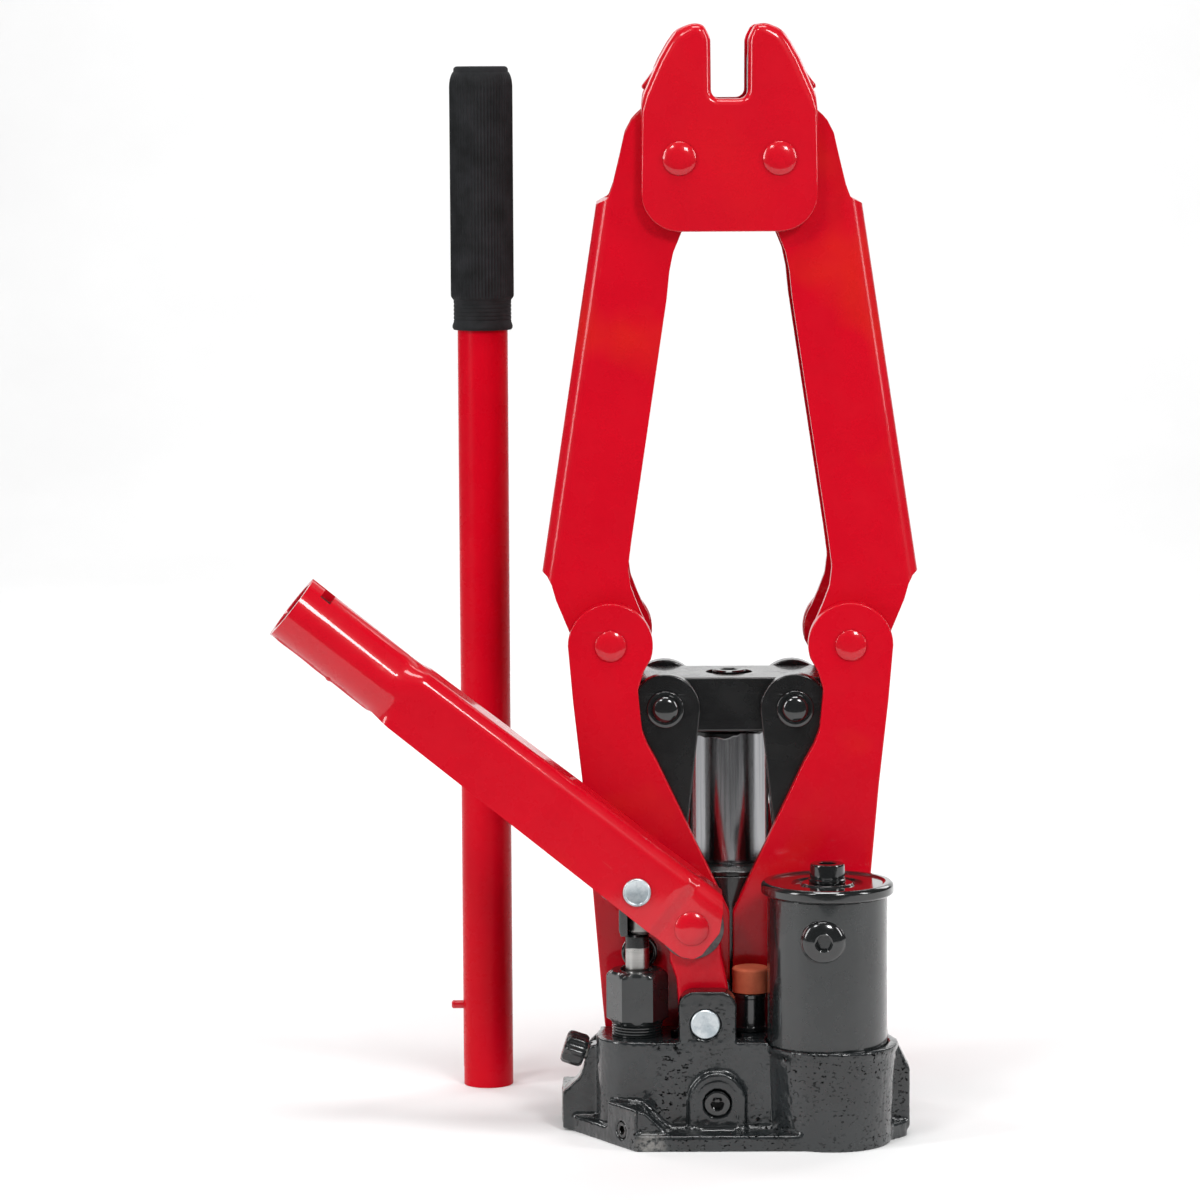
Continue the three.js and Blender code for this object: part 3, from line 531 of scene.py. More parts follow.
def cast_black():
    """Black enamel over a sand casting, with pits darkened near black as painted shade, and chips down to
    grey iron.
    """
    g = Graph("cast_black_enamel", Coat_Roughness=0.05)
    tone = g.spread(g.noise(30, 5, 0.6), 0.35, 0.7)
    base = g.blend(tone, (22, 25, 26), (40, 44, 46))
    across = g.node("SeparateXYZ", Vector=g.place).outputs["X"]
    crowd = g.math("ADD", g.noise(24, 2, seed=6), g.spread(across, -0.07, 0.05, 0, 0.12))
    where = g.spread(crowd, 0.52, 0.66)
    pocks = g.spread(g.noise(520, 2, 0.5, (1, 1, 1.5), 8), 0.6, 0.66)
    pits_and_shade = g.math("MULTIPLY", where, pocks)
    # Painted shade: the pits, dented by the bump below, are coloured near black.
    base = g.blend(g.math("MULTIPLY", pits_and_shade, 0.95), base, (3, 3, 3))
    grit = g.noise(240, 5, 0.7, seed=2)
    bare = g.math("MULTIPLY", g.near((-41, -104, 2.5), 9), g.spread(grit, 0.42, 0.5))
    corner = g.math("MULTIPLY", g.near((-48, -104, 17), 5), g.spread(grit, 0.52, 0.58))
    chips = g.math("MULTIPLY", g.wear(0.6, 0.7), g.spread(g.noise(130, 6, 0.75, seed=5), 0.6, 0.68))
    worn = g.math("ADD", g.math("ADD", bare, corner), chips)
    iron = g.blend(g.spread(grit, 0.3, 0.8), (84, 84, 82), (140, 138, 134))
    sound = g.math("SUBTRACT", 1, pits_and_shade)
    gloss = g.spread(g.noise(80, 4, 0.6, seed=1), 0.3, 0.75, 0.16, 0.34)
    g.put(
        Base_Color=g.blend(worn, base, iron),
        Coat_Weight=g.math("MULTIPLY", sound, 0.55),
        Specular_IOR_Level=g.math("MULTIPLY", sound, 0.5),
        Roughness=g.math("ADD", gloss, g.math("MULTIPLY", worn, 0.3)),
    )
    g.bumps((sound, 1, 0.7), (g.noise(420, 4, 0.6), 0.2, 0.2), (g.noise(75, 3, seed=4), 0.3, 0.6))
    return g.material


def worked_metal(name, light, dark, roughness, stretch, scale=60, grain=0.15, seed=0, tint=None):
    """Bare metal whose tool marks run where the noise is stretched."""
    g = Graph(name, Metallic=1)
    streaks = g.noise(scale, 6, 0.65, stretch, seed)
    base = g.blend(g.spread(streaks, 0.3, 0.7), dark, light)
    if tint:
        base = g.blend(g.spread(g.noise(130, 5, 0.7, seed=seed + 2), 0.45, 0.65, 0, 0.6), base, tint)
    marks = g.noise(scale * 1.6, 5, 0.7, stretch, seed + 1)
    g.put(Base_Color=base, Roughness=g.spread(marks, 0.3, 0.7, roughness, roughness + 0.16))
    g.bumps((streaks, grain, 0.05), (g.noise(300, 3, seed=seed), 0.05, 0.05))
    return g.material


def half_painted(name, light, dark, level, drip, roughness, stretch, grain):
    """Bare metal, painted black above a level in metres, where the paint ends raggedly."""
    g = Graph(name, Metallic=1)
    streaks = g.noise(8, 5, 0.6, stretch)
    base = g.blend(g.spread(streaks, 0.3, 0.7), dark, light)
    rise = g.node("SeparateXYZ", Vector=g.place).outputs["Z"]
    drips = g.math("MULTIPLY", g.noise(60, 3, 0.6, (1, 1, 0.15)), drip)
    paint = g.spread(g.math("ADD", rise, drips), level, level + 0.0004)
    g.put(
        Base_Color=g.blend(paint, base, (18, 20, 20)),
        Metallic=g.math("SUBTRACT", 1, paint),
        Roughness=g.spread(g.noise(13, 5, 0.7, stretch, 1), 0.3, 0.7, roughness, roughness + 0.12),
    )
    g.bumps((streaks, grain, 0.05), (paint, 0.6, 0.15))
    return g.material


def rubber(name, low, high, grain=0.3, scale=500):
    """Dull rubber, mottled between two colours and finely grained."""
    g = Graph(name, Specular_IOR_Level=0.1)
    g.put(
        Base_Color=g.blend(g.spread(g.noise(60, 5, 0.65), 0.35, 0.7), low, high),
        Roughness=g.spread(g.noise(150, 4, 0.6), 0.3, 0.7, 0.7, 0.9),
    )
    g.bumps((g.noise(scale, 4, 0.6), grain, 0.15), (g.noise(60, 2), 0.15, 0.4))
    return g.material


RED = red_enamel("red_enamel", cloud=0.12, coat=0.85)
RED_ARM = red_enamel("red_enamel_arms", seed=7, cloud=0.75, coat=0.3)
RED_TUBE = red_enamel("red_enamel_tube", peel=0.06, seed=20, cloud=0.15, coat=0, shine=0.08)
RED_LEVER = red_enamel("red_enamel_lever", peel=0.05, seed=13, cloud=0.2, coat=0.8, wave=0.03)
# Dark red for the thin sleeve inside the lever's socket: painted shade in place of the socket's shaded
# inside.
SOCKET_SHADE = black_enamel("socket_painted_shade", (46, 8, 10), (78, 14, 16), 0.55, 0, seed=9)
RED_PEEL = red_enamel("red_enamel_heavy_peel", peel=0.75, peel_scale=330, seed=4)
BLACK = black_enamel("black_enamel", (12, 13, 13), (20, 21, 22))
BLACK_WET = black_enamel("black_enamel_wet", (18, 20, 20), (28, 31, 32), 0.1, 0.9, 0.2, 3)
BLACK_TANK = black_enamel("black_enamel_tank", (22, 25, 26), (32, 36, 37), 0.2, 0.7, 0.1, 6)
CAST = cast_black()
CHROME = half_painted(
    "hard_chrome", (182, 182, 184), (146, 147, 150), level=0.1995, drip=0.012, roughness=0.12,
    stretch=(60, 60, 1), grain=0.08,
)
ROD = half_painted(
    "ground_rod", (196, 195, 192), (160, 159, 157), level=0.0975, drip=0.006, roughness=0.24,
    stretch=(1, 1, 40), grain=0.06,
)
EVEN = (1, 1, 1)
TURNED = worked_metal("turned_steel", (184, 184, 182), (140, 140, 140), 0.26, (1, 1, 60), 30, 0.1, 2)
STEEL = worked_metal("plain_steel", (170, 169, 166), (112, 111, 108), 0.3, EVEN, 90, 0.2, 5)
WASHER = worked_metal("grey_washer", (128, 122, 122), (78, 72, 74), 0.45, EVEN, 340, 0.6, 8)
ZINC = worked_metal("zinc_plate", (240, 246, 248), (196, 208, 214), 0.3, EVEN, 110, 0.25, 1, (142, 160, 170))
BLADE = worked_metal("blade_steel", (104, 104, 106), (54, 54, 57), 0.3, (60, 1, 1), 30, 0.35, 9)
RUBBER = rubber("black_rubber", (32, 33, 34), (48, 49, 51))
ORANGE = rubber("orange_rubber", (198, 98, 70), (224, 120, 88), 0.2, 300)


# ---- Pins and screws ----
def half_dome(r, base, rim, height, steps=10):
    """The outer half of a low pillow-shaped head, from under its rim to its crown."""
    points = [(r, base), (r, base + rim * 0.6), (r - 0.15, base + rim)]
    for i in range(1, steps + 1):
        share = math.cos(math.pi / 2 * i / steps)
        points.append(((r - 0.15) * share, base + rim + height * (1 - share ** 3.2)))
    return points


def pin(shaft, head):
    """A pin along Z whose head profile, from its shoulder to its crown, repeats at the back."""
    shoulder = head[0][1]
    back = [(r, -z) for r, z in reversed(head)]
    return lathe([*back, (shaft, -shoulder), (shaft, shoulder), *head], steps=48)


def socket_head(outer, flats, floor, top):
    """A profile closed by a hexagon socket of a half width across flats, from its floor to the top."""
    corner = flats * 1.2
    return outer + [
        (flats * 1.25, top), (corner, top - 0.3, flats), (corner, floor, flats), (flats * 0.5, floor - 0.6),
        (0, floor - 0.8),
    ]


# ---- Head ----
def head_edge(point):
    """Edge radius: rolled round along the slopes, less in the slot, and crisp lower down."""
    slope = ramp(abs(point[0]), 12, 23)
    return 0.6 + (3.2 + 1.4 * slope) * eased(ramp(point[1], 500, 518))


def head_plate():
    right = [
        *arc(24.4, 466.8, 19, -90, 0, 12), (43.4, 507, 9), (42.6, 515, 9), (34.9, 532.5, 12),
        (30.2, 540.8, 12), (25.8, 547, 11), (18.2, 550, 9), (12.6, 549.4, 5.2), (9.2, 542.6, 9),
        (9, 513, 4.4),
    ]
    outline = rounded(right + mirrored(right, -1)[::-1], 0, 6)
    pins = [(*aside(HEAD_PIVOT, side), PIN_HOLE) for side in (-1, 1)]
    return plate(outline, -PLATE_OUT, -PLATE_IN, head_edge, pins, steps=6, rear=0.5)


for word, flip in FACES:
    piece(head_plate().moved(flip), f"head_plate_{word}_pressed", "head", RED, [f"head_plate_{word}"])
for side, word in SIDES:
    rivet = pin(PIN, half_dome(8.3, RIVET_FOOT, 0.4, 1.8)).moved(to_front(aside(HEAD_PIVOT, side)))
    piece(rivet, f"head_rivet_{word}", "head", RED, [f"head_pin_{word}"])


# ---- Upper arms ----
def fold_bar(side, depth, bend):
    """A long bar whose two outer edges are rounded like the arm's folds, inset by depth."""
    top, foot = Vector((66, 461)), Vector((93.7, 278.3))
    along = (foot - top).normalized()
    inner = Vector((along.y, -along.x))
    start = top + inner * depth - along * 140
    half = FLANGE_OUT - depth
    section = [
        (200, half), *arc(bend, half - bend, bend, 90, 180, 14), *arc(bend, bend - half, bend, 180, 270, 14),
        (200, -half),
    ]
    rings = []
    for distance in (0, 460):
        base = start + along * distance
        rings.append([(side * (base.x + inner.x * t), y, base.y + inner.y * t) for t, y in section])
    return lofted(rings)


def head_hole(side):
    """The right head pin needs play in its hole."""
    return LOOSE_HOLE if side > 0 else PIN_HOLE


def upper_arm(side):
    outline = rounded([
        *arc(*HEAD_PIVOT, 21.4, 232, 118, 12), *arc(*HEAD_PIVOT, 30, 84, 38, 7), (51.6, 496, 6),
        (54.2, 484.5), (57.6, 470.5, 5), (60, 464, 3), (66, 461), (93.7, 278.3), (91.2, 276.2, 2),
        (89, 272, 6), (86.8, 264.3, 8), *arc(*KNEE, 20.8, 15, -215, 24), (46.2, 262, 12), (49.6, 271, 10),
        (50.8, 280.6, 12), (49.1, 294, 10), (31.1, 414.3, 8), (29.7, 428, 10), (27.8, 437.3, 10),
        (23.5, 447.7, 10), (13.5, 462, 8),
    ])
    body = work(plate(mirrored(outline, side), -FLANGE_OUT, FLANGE_OUT, 0))
    carve(body, [fold_bar(side, 0, 9)], "INTERSECT")
    open_ends = [
        plate(mirrored(ends, side), -FLANGE_IN, FLANGE_IN, 0)
        for ends in (
            [(-20, 560), (110, 560), (110, 463), (-20, 463)],
            [(-20, 275), (115, 275), (115, 200), (-20, 200)],
        )
    ]
    holes = [
        rod(r, -60, 60).moved(to_front(aside(place, side)))
        for place, r in ((HEAD_PIVOT, head_hole(side)), (KNEE, PIN_HOLE))
    ]
    carve(body, [fold_bar(side, 6, 3), *open_ends, *holes])
    return soften(body, 0.55, 50)


def jaw_edge(point):
    """Edge radius: full along the sloping back, crisp elsewhere."""
    return 0.8 + 2 * ramp(point[1], 521, 527) * ramp(abs(point[0]), 18, 24)


def jaw(side):
    """The painted jaw and the bare wedge-shaped blade set along its inner edge."""
    outline = rounded([
        (13.4, 520), (13.4, 545.6, 1.6), (16, 548, 1.6), (22.5, 547.4, 3), (27, 543.8, 3), (29.8, 539.2, 4),
        (37.2, 527.3), (42.9, 519.6, 0.8), (43, 518.2, 0.5), (41.5, 517, 0.5), (42.6, 511.5, 0.6),
        (43.8, 504), (48, 484), (50, 462), (49, 437), (33, 437), (27, 453), (9.5, 453), (8.6, 470),
        (8.6, 499), (13.4, 504),
    ], 1.2, 3)
    hole = (*aside(HEAD_PIVOT, side), head_hole(side))
    body = plate(mirrored(outline, side), -27, 27, jaw_edge, [hole])
    sections = [(13.2, 26.4), (12.4, 26.4), (9.5, 2.2), (9.5, -2.2), (12.4, -26.4), (13.2, -26.4)]
    rings = [
        [(side * (x + relief * (x < 12)), y, z) for x, y in sections]
        for z, relief in ((505, 0.3), (506, 0), (532, 0), (541, 1.5))
    ]
    return body, lofted(rings)


for side, word in SIDES:
    body = f"upper_arm_{word}"
    piece(upper_arm(side), f"upper_arm_{word}_folded", body, RED_ARM, [f"upper_arm_{word}"], sharp=40)
    jaw_body, blade = jaw(side)
    piece(jaw_body, f"jaw_{word}_body", body, RED, [f"jaw_{word}"])
    piece(soften(work(blade), 0.3), f"jaw_{word}_blade", body, BLADE, sharp=40)


# ---- Lower arms ----
LOWER_ARM = rounded([
    *arc(*KNEE, 21.2, 0, 198, 28), (43.3, 229.3, 6), (46.2, 220, 8), (45.1, 208, 8), (44.2, 199.7, 8),
    (41.5, 192.5, 10), (37, 184.5, 10), (4, 115, 10), (0.8, 108, 6), (0.7, 46),
    *arc(*BASE_PIVOT, 19.2, 178, 300, 14), (52, 31, 6), (61, 40, 8), (63.5, 51, 10), (64.8, 65, 10),
    (69.3, 120), (73.9, 172), (78.6, 214.4, 20),
])
LINK_STUD = [
    (9, RIVET_FOOT), (9, 42.9), (8.5, 43.3), (7.4, 43.3), (7, 43), (6.7, 43.2), (5.8, 44), (4, 44.6),
    (2, 44.85), (0, 44.9),
]


def lower_arm(side):
    pins = ((KNEE, PIN_HOLE), (LINK_PIN, PIN_HOLE), (TIE, 5.3), (BASE_PIVOT, 8))
    holes = [(*aside(place, side), r) for place, r in pins]
    return plate(mirrored(LOWER_ARM, side), -PLATE_OUT, -PLATE_IN, 0.7, holes, rear=0.5)


for side, word in SIDES:
    body = f"lower_arm_{word}"
    for place, flip in FACES:
        node = f"lower_arm_{word}_{place}"
        piece(lower_arm(side).moved(flip), f"{node}_plate", body, RED_ARM, [node])
    knee = pin(PIN, half_dome(7.7, RIVET_FOOT, 0.4, 1.3)).moved(to_front(aside(KNEE, side)))
    piece(knee, f"knee_rivet_{word}", body, RED, [f"knee_pin_{word}"])
    bolt = pin(5, [(7, RIVET_FOOT), (7, 42.9), (6.4, 43.5), (5.6, 43.5), (5.2, 43.2), (0, 43.2)])
    bolt.moved(to_front(aside(TIE, side)))
    piece(bolt, f"tie_bolt_{word}_turned", body, ZINC, [f"tie_bolt_{word}"])
    stud = pin(5.8, LINK_STUD).moved(to_front(aside(LINK_PIN, side)))
    piece(stud, f"link_stud_{word}", body, BLACK_WET, [f"link_pin_{word}"])


# ---- Crosshead, links and ram ----
def crosshead():
    """The block between the links, counterbored for its screw."""
    block = rounded([(-47, 196.4), (47, 196.4), (47, 224), (-47, 224)], 2.2, 4)
    holes = [(*aside(CROSS_PIN, side), PIN_HOLE) for side in (-1, 1)]
    body = work(plate(block, -24, 24, 1.1, holes))
    carve(body, [
        rod(6.3, 190, 230),
        lathe([(0, 214), (11.5, 214), (11.5, 223.4), (12.2, 224.6), (12.2, 230), (0, 230)], 48),
    ])
    return body


def link(side):
    """A plate drawn along its own length, then laid from the lower to the upper pin."""
    foot = Vector(LINK_PIN)
    run = Vector(CROSS_PIN) - foot
    along = run.normalized()
    across = Vector((-along.y, along.x))
    flat = rounded([
        *arc(0, 0, 13, 90, 236, 10), (0, -11, 4), (58, -11, 14), (80, -17.5, 14),
        *arc(run.length, 0, 17.5, -90, 90, 20), (40, 17.5, 20),
    ])
    outline = [tuple(foot + along * s + across * t) for s, t in flat]
    holes = [(*aside(CROSS_PIN, side), PIN_HOLE), (*aside(LINK_PIN, side), 7)]
    return plate(mirrored(outline, side), -FLANGE_OUT, -LINK_IN, 0.8, holes)


piece(crosshead(), "crosshead_block", "ram", BLACK, ["crosshead"])
screw = [(0, 172), (5.8, 172), (5.8, 214.4), (8.4, 214.4), (8.4, 224.6), (7.8, 225.3)]
screw = lathe(socket_head(screw, 4, 220.5, 225.3))
piece(screw, "crosshead_socket_screw", "ram", BLACK, ["crosshead_screw"], sharp=35)
CROSS_STUD = [
    (9.3, 33.6), (9.3, 34.5), (8.9, 34.9), (7.6, 35), (7.1, 34.4), (6.8, 34.4), (6.5, 34.9), (5.6, 35.8),
    (4, 36.3), (2, 36.55), (0, 36.6),
]
for side, word in SIDES:
    for place, flip in FACES:
        node = f"link_{word}_{place}"
        piece(link(side).moved(flip), f"{node}_plate", f"link_{word}", BLACK, [node])
    stud = pin(PIN, CROSS_STUD).moved(to_front(aside(CROSS_PIN, side)))
    piece(stud, f"crosshead_stud_{word}", "ram", BLACK_WET, [f"crosshead_pin_{word}"])

ram = turned([
    (0, 88), (12, 88), (12, 98.3), (20, 98.3), (20, 194.8), (18.8, 196.1), (6.3, 196.1), (6.3, 168), (0, 168),
], 0.5, steps=96)
piece(ram, "ram_rod_ground", "ram", CHROME, ["ram_rod"])
gland = turned([
    (20.3, 112), (23.7, 112), (23.7, 124.3), (31.6, 124.3, 0.2), (31.6, 126.4, 0.9), (29, 128.7, 1.4),
    (22.4, 128.7), (21.4, 127.5), (20.3, 127.5),
], 0.4, steps=96, closed=True)
piece(gland, "cylinder_gland_turned", "base", BLACK, ["cylinder_gland"], sharp=40)

SPRING_FOOT = 68.6


def return_spring(turns=3.5, wire=1.25, coil=15, top=87.5, steps=168):
    """The coil under the piston."""
    up = Vector((0, 0, 1))
    rings = []
    for k in range(steps + 1):
        run = k / steps
        turn = 2 * math.pi * turns * run
        height = SPRING_FOOT + wire + (top - SPRING_FOOT - 2 * wire) * run
        out = Vector((math.cos(turn), math.sin(turn), 0))
        rings.append(bead(out * coil + up * height, out * wire, up * wire, 12))
    return lofted(rings)


spring = piece(return_spring(), "ram_return_spring_coil", "base", STEEL, ["ram_return_spring"])
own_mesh(spring)

cylinder = turned([(0, 62.3), (32, 62.3), (32, 123.9, 0.3), (24, 123.9), (24, 68), (0, 68)], steps=96)
piece(cylinder, "main_cylinder_turned", "base", BLACK_TANK, ["main_cylinder"])


# ---- Base casting ----
def arch(width, spring):
    """The outline of a round-headed boss about the base plug."""
    x, z = BASE_PLUG
    return [(x - width, spring), (x + width, spring), *arc(x, z + 1.4, width, 0, 180, 16)]


def casting_bodies():
    """The foot, and the bodies that are joined to it."""
    foot = slab(rounded([
        (-85, -20, 4), (-85.3, -42, 4), (-82.7, -52, 6), (-48, -104, 3), (36, -104, 18), (60, -97, 14),
        (78, -80, 8), (86.5, -71, 4), (88, -30, 4), (66, 44, 12), (52, 52, 8), (-52, 52, 8), (-66, 44, 12),
    ]), 0, 8)
    front = slab([
        (-66, WALL_BACK), *arc(*PUMP, 20.5, 165, 262, 18), (-38, FRONT_FACE), (22, FRONT_FACE),
        (30, WALL_BACK),
    ], 7, 50.5)
    collar = lathe([(0, 0), (30, 0), (31.2, 30), (32, 45), (33, 47), (33, 50), (0, 50)], 72)
    collar.moved(at(COLLAR_X, TANK[1]))
    side = slab([(40, -70), (78, -70), (78, WALL_BACK), (25, WALL_BACK)], 7, 50)
    boss = plate(arch(14.1, 1), FRONT_FACE - 3.2, FRONT_FACE + 4, 0)
    corner = slab([(-62.7, -82), (-48, -104), (-45, -84), (-56, -72)], 7, 20.7)
    slope = plate([(-50, 3), (-50, 20.4), (-44, 19), (-31, 7), (-31, 3)], -101, -80, 0)
    wing = plate([
        (-84.6, 1), (-84.6, 20), (-76.5, 27), (-75, 30), (-73, 36.5), (-71, 43), (-60, 46), (-60, 1),
    ], -57, LUG_BACK, 0)
    outer = slab([(-85, -20), (-85.3, -42), (-85, -44), (-66, -44), (-66, -20)], 7, 20)
    rib = plate([
        (-74, 37), (-70, 41), (-60, 49.5), (-33, 49.5), (-33, 44), (-58, 44), (-68, 37), (-68, 15), (-74, 15),
    ], -27, -23, 0)
    lug = plate([
        (-26.8, 46.5), (1.6, 46.5), *arc(-5.9, 68.5, 7.5, 0, 90, 8), *arc(-19.3, 68.5, 7.5, 90, 180, 8),
    ], FRONT_FACE, LUG_BACK, 0)
    flange = plate([(76, 4), (88, 4), (88, 34), (82, 46), (76, 46)], -70, -58, 0)
    centre = box(-34, 34, -33.3, 33.3, 7, 62)
    rear = slab([(-40, 43), (40, 43), (34, 51), (-34, 51)], 7, 56)
    return foot, [front, collar, side, boss, corner, slope, wing, outer, rib, lug, flange, centre, rear]


def casting_cuts():
    """What is cut out of the casting: decks, slots, bores and sockets."""
    slot = 9.6
    cuts = [
        box(10, 100, WALL_BACK, -33.5, 8, 90),
        box(-100, -10, WALL_BACK, -33.5, 47, 90),
        box(-0.8, 4, PUMP[1], WALL_BACK + 2, 50.5, 90),
        box(-30, 4, PUMP[1] - slot, PUMP[1] + slot, 43, 80),
        rod(7.6, 40, 90).moved(to_front(LUG_PIN)),
        rod(7, 24, 60).moved(at(*PUMP)),
        rod(9.5, 44, 60).moved(at(*PUMP)),
        rod(30.1, 44, 60, 72).moved(at(*TANK)),
        rod(6.4, 46, 60).moved(at(*RELIEF)),
        rod(6.9, 78, 100).moved(to_front(BASE_PLUG)),
        plate(arch(10.4, 6.5), -92, FRONT_FACE - 2, 0),
        rod(5.4, 9, 36).moved(VALVE),
        rod(4.4, -2, 12).moved(CORNER),
    ]
    pins = [rod(8, -46.3, 46.3).moved(to_front(aside(BASE_PIVOT, side))) for side in (-1, 1)]
    return cuts + pins


def roughen(body, name, size, depth, strength):
    """Adds a layer of cloud-shaped lumps."""
    texture = bpy.data.textures.new(name, "CLOUDS")
    texture.noise_scale = size
    texture.noise_depth = depth
    modify(body, "DISPLACE", texture=texture, strength=strength, mid_level=0.5, texture_coords="LOCAL")


def base_casting():
    """One casting: its bodies joined and cut, remeshed fine, then worn round and roughened."""
    foot, others = casting_bodies()
    body = work(foot)
    carve(body, others, "UNION")
    carve(body, casting_cuts())
    modify(body, "REMESH", mode="VOXEL", voxel_size=0.9)
    modify(body, "SMOOTH", factor=0.5, iterations=5)
    settle(body)
    roughen(body, "cast_lumps", 9, 2, 0.5)
    roughen(body, "cast_grit", 1.6, 3, 0.35)
    settle(body)
    low, high = (Vector(corner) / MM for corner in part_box("base_casting"))
    for vertex in body.data.vertices:
        vertex.co = [min(max(v, a), b) for v, a, b in zip(vertex.co, low, high)]
    return body


piece(base_casting(), "base_casting_rough", "base", CAST, ["base_casting"], sharp=None)


# ---- Pieces screwed into the base ----
LID_RISE = 3
SIDE_PLUG = to_front((43.6, 104.6), TANK[1] - 29.9)


def gland_nut():
    flat = 13.3
    threads = []
    for k in range(4):
        z = 51 + 1.45 * k
        threads += [(12.6, z), (12.6, z + 0.3), (11.8, z + 0.75), (12.6, z + 1.2)]
    foot = [(6.4, 44.3), (9.1, 44.3), (9.1, 50.8), (12.4, 50.8), *threads, (12.2, 57)]
    hexagon = [
        (12.9, 57.4), (15.5, 59), (15.6, 59.6), (15.6, 80), (15.2, 81), (14.2, 82.2), (12.9, 83.2),
    ]
    crown = [(11.9, 83.5), (8.6, 83.5), (8.2, 83.2), (8, 82.4), (6.7, 82.4), (6.4, 82.1)]
    return lathe(foot + [(r, z, flat) for r, z in hexagon] + crown, steps=96, closed=True)


def release_knob():
    """A cast knob with shallow flutes and a worn end face."""
    return lathe([
        (0, -2.4), (5.6, -2.4, None, 0), (7.4, -2, None, 0.5), (8.3, -1, None, 1), (8.5, 0.4, None, 1),
        (8.5, 6.6, None, 1), (8.2, 7.8, None, 1), (7.2, 8.8, None, 0.4), (5.2, 9, None, 0), (4.2, 8.7),
        (4.1, 4), (0, 4),
    ], steps=96, ribs=8, depth=1.3)


tube = turned([(27, 44.3), (29.6, 44.3), (29.6, 123.4), (27, 123.4)], 0.5, steps=96, closed=True)
lid = turned([
    (7, 118), (26.7, 118), (26.7, 120.7), (31.4, 120.7, 0.8), (32.7, 121.6, 1.2), (32.7, 125.6, 2),
    (31.3, 127, 1.6), (28.6, 127, 1.4), (27.4, 126, 1.2), (17.8, 126, 0.8), (16.6, 124.6, 0.8),
    (13.4, 124.6, 0.8), (12.4, 126.2, 0.8), (7, 126.2),
], 0.3, steps=120, closed=True)
filler = lathe(socket_head([
    (0, 114), (6.6, 114), (6.6, 126.6), (9, 126.6), (9.2, 127), (9.2, 127.9), (8.7, 128.3), (8.6, 134.6),
    (8.3, 135.4), (7.7, 135.8), (5.4, 135.8),
], 3.9, 131.5, 135.7), 72)
side_head = [(0, -9), (6, -9), (6, -6), (11.2, -6), (11.2, -1.6), (10.9, -1), (10.6, -0.8)]
side_head += [(10.6 * math.cos(0.18 * k), -0.8 + 3.7 * math.sin(0.18 * k)) for k in range(1, 7)]
side_plug = lathe(socket_head(side_head, 3.6, -0.8, 2.7), 72)
plug = [(0, 78.6), (6.4, 78.6), (6.4, 87.9), (6.1, 88.4), (5.6, 88.6)]
plug = lathe(socket_head(plug, 3, 82.6, 88.6))
small_plug = [(0, -11), (4.1, -11), (4.1, -0.9), (3.8, -0.5), (3.4, -0.4)]
small_plug = lathe(socket_head(small_plug, 2, -3.4, -0.4), 48)
relief = turned([
    (0, 46.3), (6, 46.3), (6, 50.8), (8.8, 50.8), (8.8, 53, 0.3), (8.4, 53.6, 0.3), (8.4, 67.2, 0.3),
    (8.8, 67.8, 0.3), (8.8, 69.8), (5, 69.8), (5, 76), (0, 76),
], 0.5, steps=72)
cap = turned([
    (0, 76.3), (5.3, 76.3), (5.3, 70.1), (9.2, 70.1, 0.5), (9, 76, 2), (9.2, 79.6, 1), (9.2, 81.6, 0.8),
    (8.3, 82.6, 0.8), (7.2, 82.3, 0.8), (0, 82.1),
], 0.4, steps=72)
lug = turned([(0, 43), (7.3, 43), (7.3, 85.3, 0.3), (6.7, 85.9, 0.4), (0, 85.9)], 0.3)
stem = turned([(0, 4.3), (3.6, 4.3), (3.6, 12.3), (5, 13.2), (5, 30), (0, 30)], 0.4, steps=48)
for shape, place, name, material, node, sharp in (
    (gland_nut(), at(*PUMP), "pump_gland_nut_threaded", BLACK_TANK, "pump_gland_nut", 30),
    (tube, at(*TANK), "reservoir_barrel", BLACK_TANK, "reservoir_tube", 50),
    (lid, at(*TANK, LID_RISE), "reservoir_rolled_lid", BLACK_WET, "reservoir_cap", 60),
    (filler, at(*TANK, LID_RISE), "filler_socket_screw", BLACK_WET, "filler_screw", 35),
    (side_plug, SIDE_PLUG, "reservoir_button_plug", BLACK_WET, "reservoir_side_plug", 35),
    (plug, to_front(BASE_PLUG), "base_socket_plug", BLACK_WET, "base_plug", 35),
    (small_plug, CORNER @ spin(180, "X"), "corner_socket_plug", BLACK, "corner_plug", 35),
    (relief, at(*RELIEF), "relief_valve_stem_body", BLACK_WET, "relief_valve_body", 40),
    (cap, at(*RELIEF), "relief_valve_rubber_cap", ORANGE, "relief_valve_cap", 60),
    (lug, to_front(LUG_PIN), "lug_pin_ground", ZINC, "lug_pin", 60),
):
    piece(shape.moved(place), name, "base", material, [node], sharp)
for shape, name, material, node, sharp in (
    (release_knob(), "release_valve_fluted_knob", CAST, "release_valve_knob", 50),
    (stem, "release_valve_turned_stem", STEEL, "release_valve_stem", 40),
):
    piece(shape.moved(VALVE), name, "release_valve", material, [node], sharp)


# ---- Pump linkage ----
def fulcrum_link():
    outline = rounded([
        (-26.8, 66, 2), *arc(*LUG_PIN, 13.4, 205, 330, 14), (-0.9, 64, 4), (-2.6, 78), (-5.5, 92, 6),
        *arc(*FULCRUM, 14, -10, 117, 16), (-26.6, 102, 3), (-31, 96, 4), (-31, 89, 4), (-27.8, 80, 10),
    ])
    holes = [(*LUG_PIN, 7.7), (*FULCRUM, PIN_HOLE)]
    return plate(outline, PUMP[1] - 9, PUMP[1] + 9, 1.4, holes, steps=4)


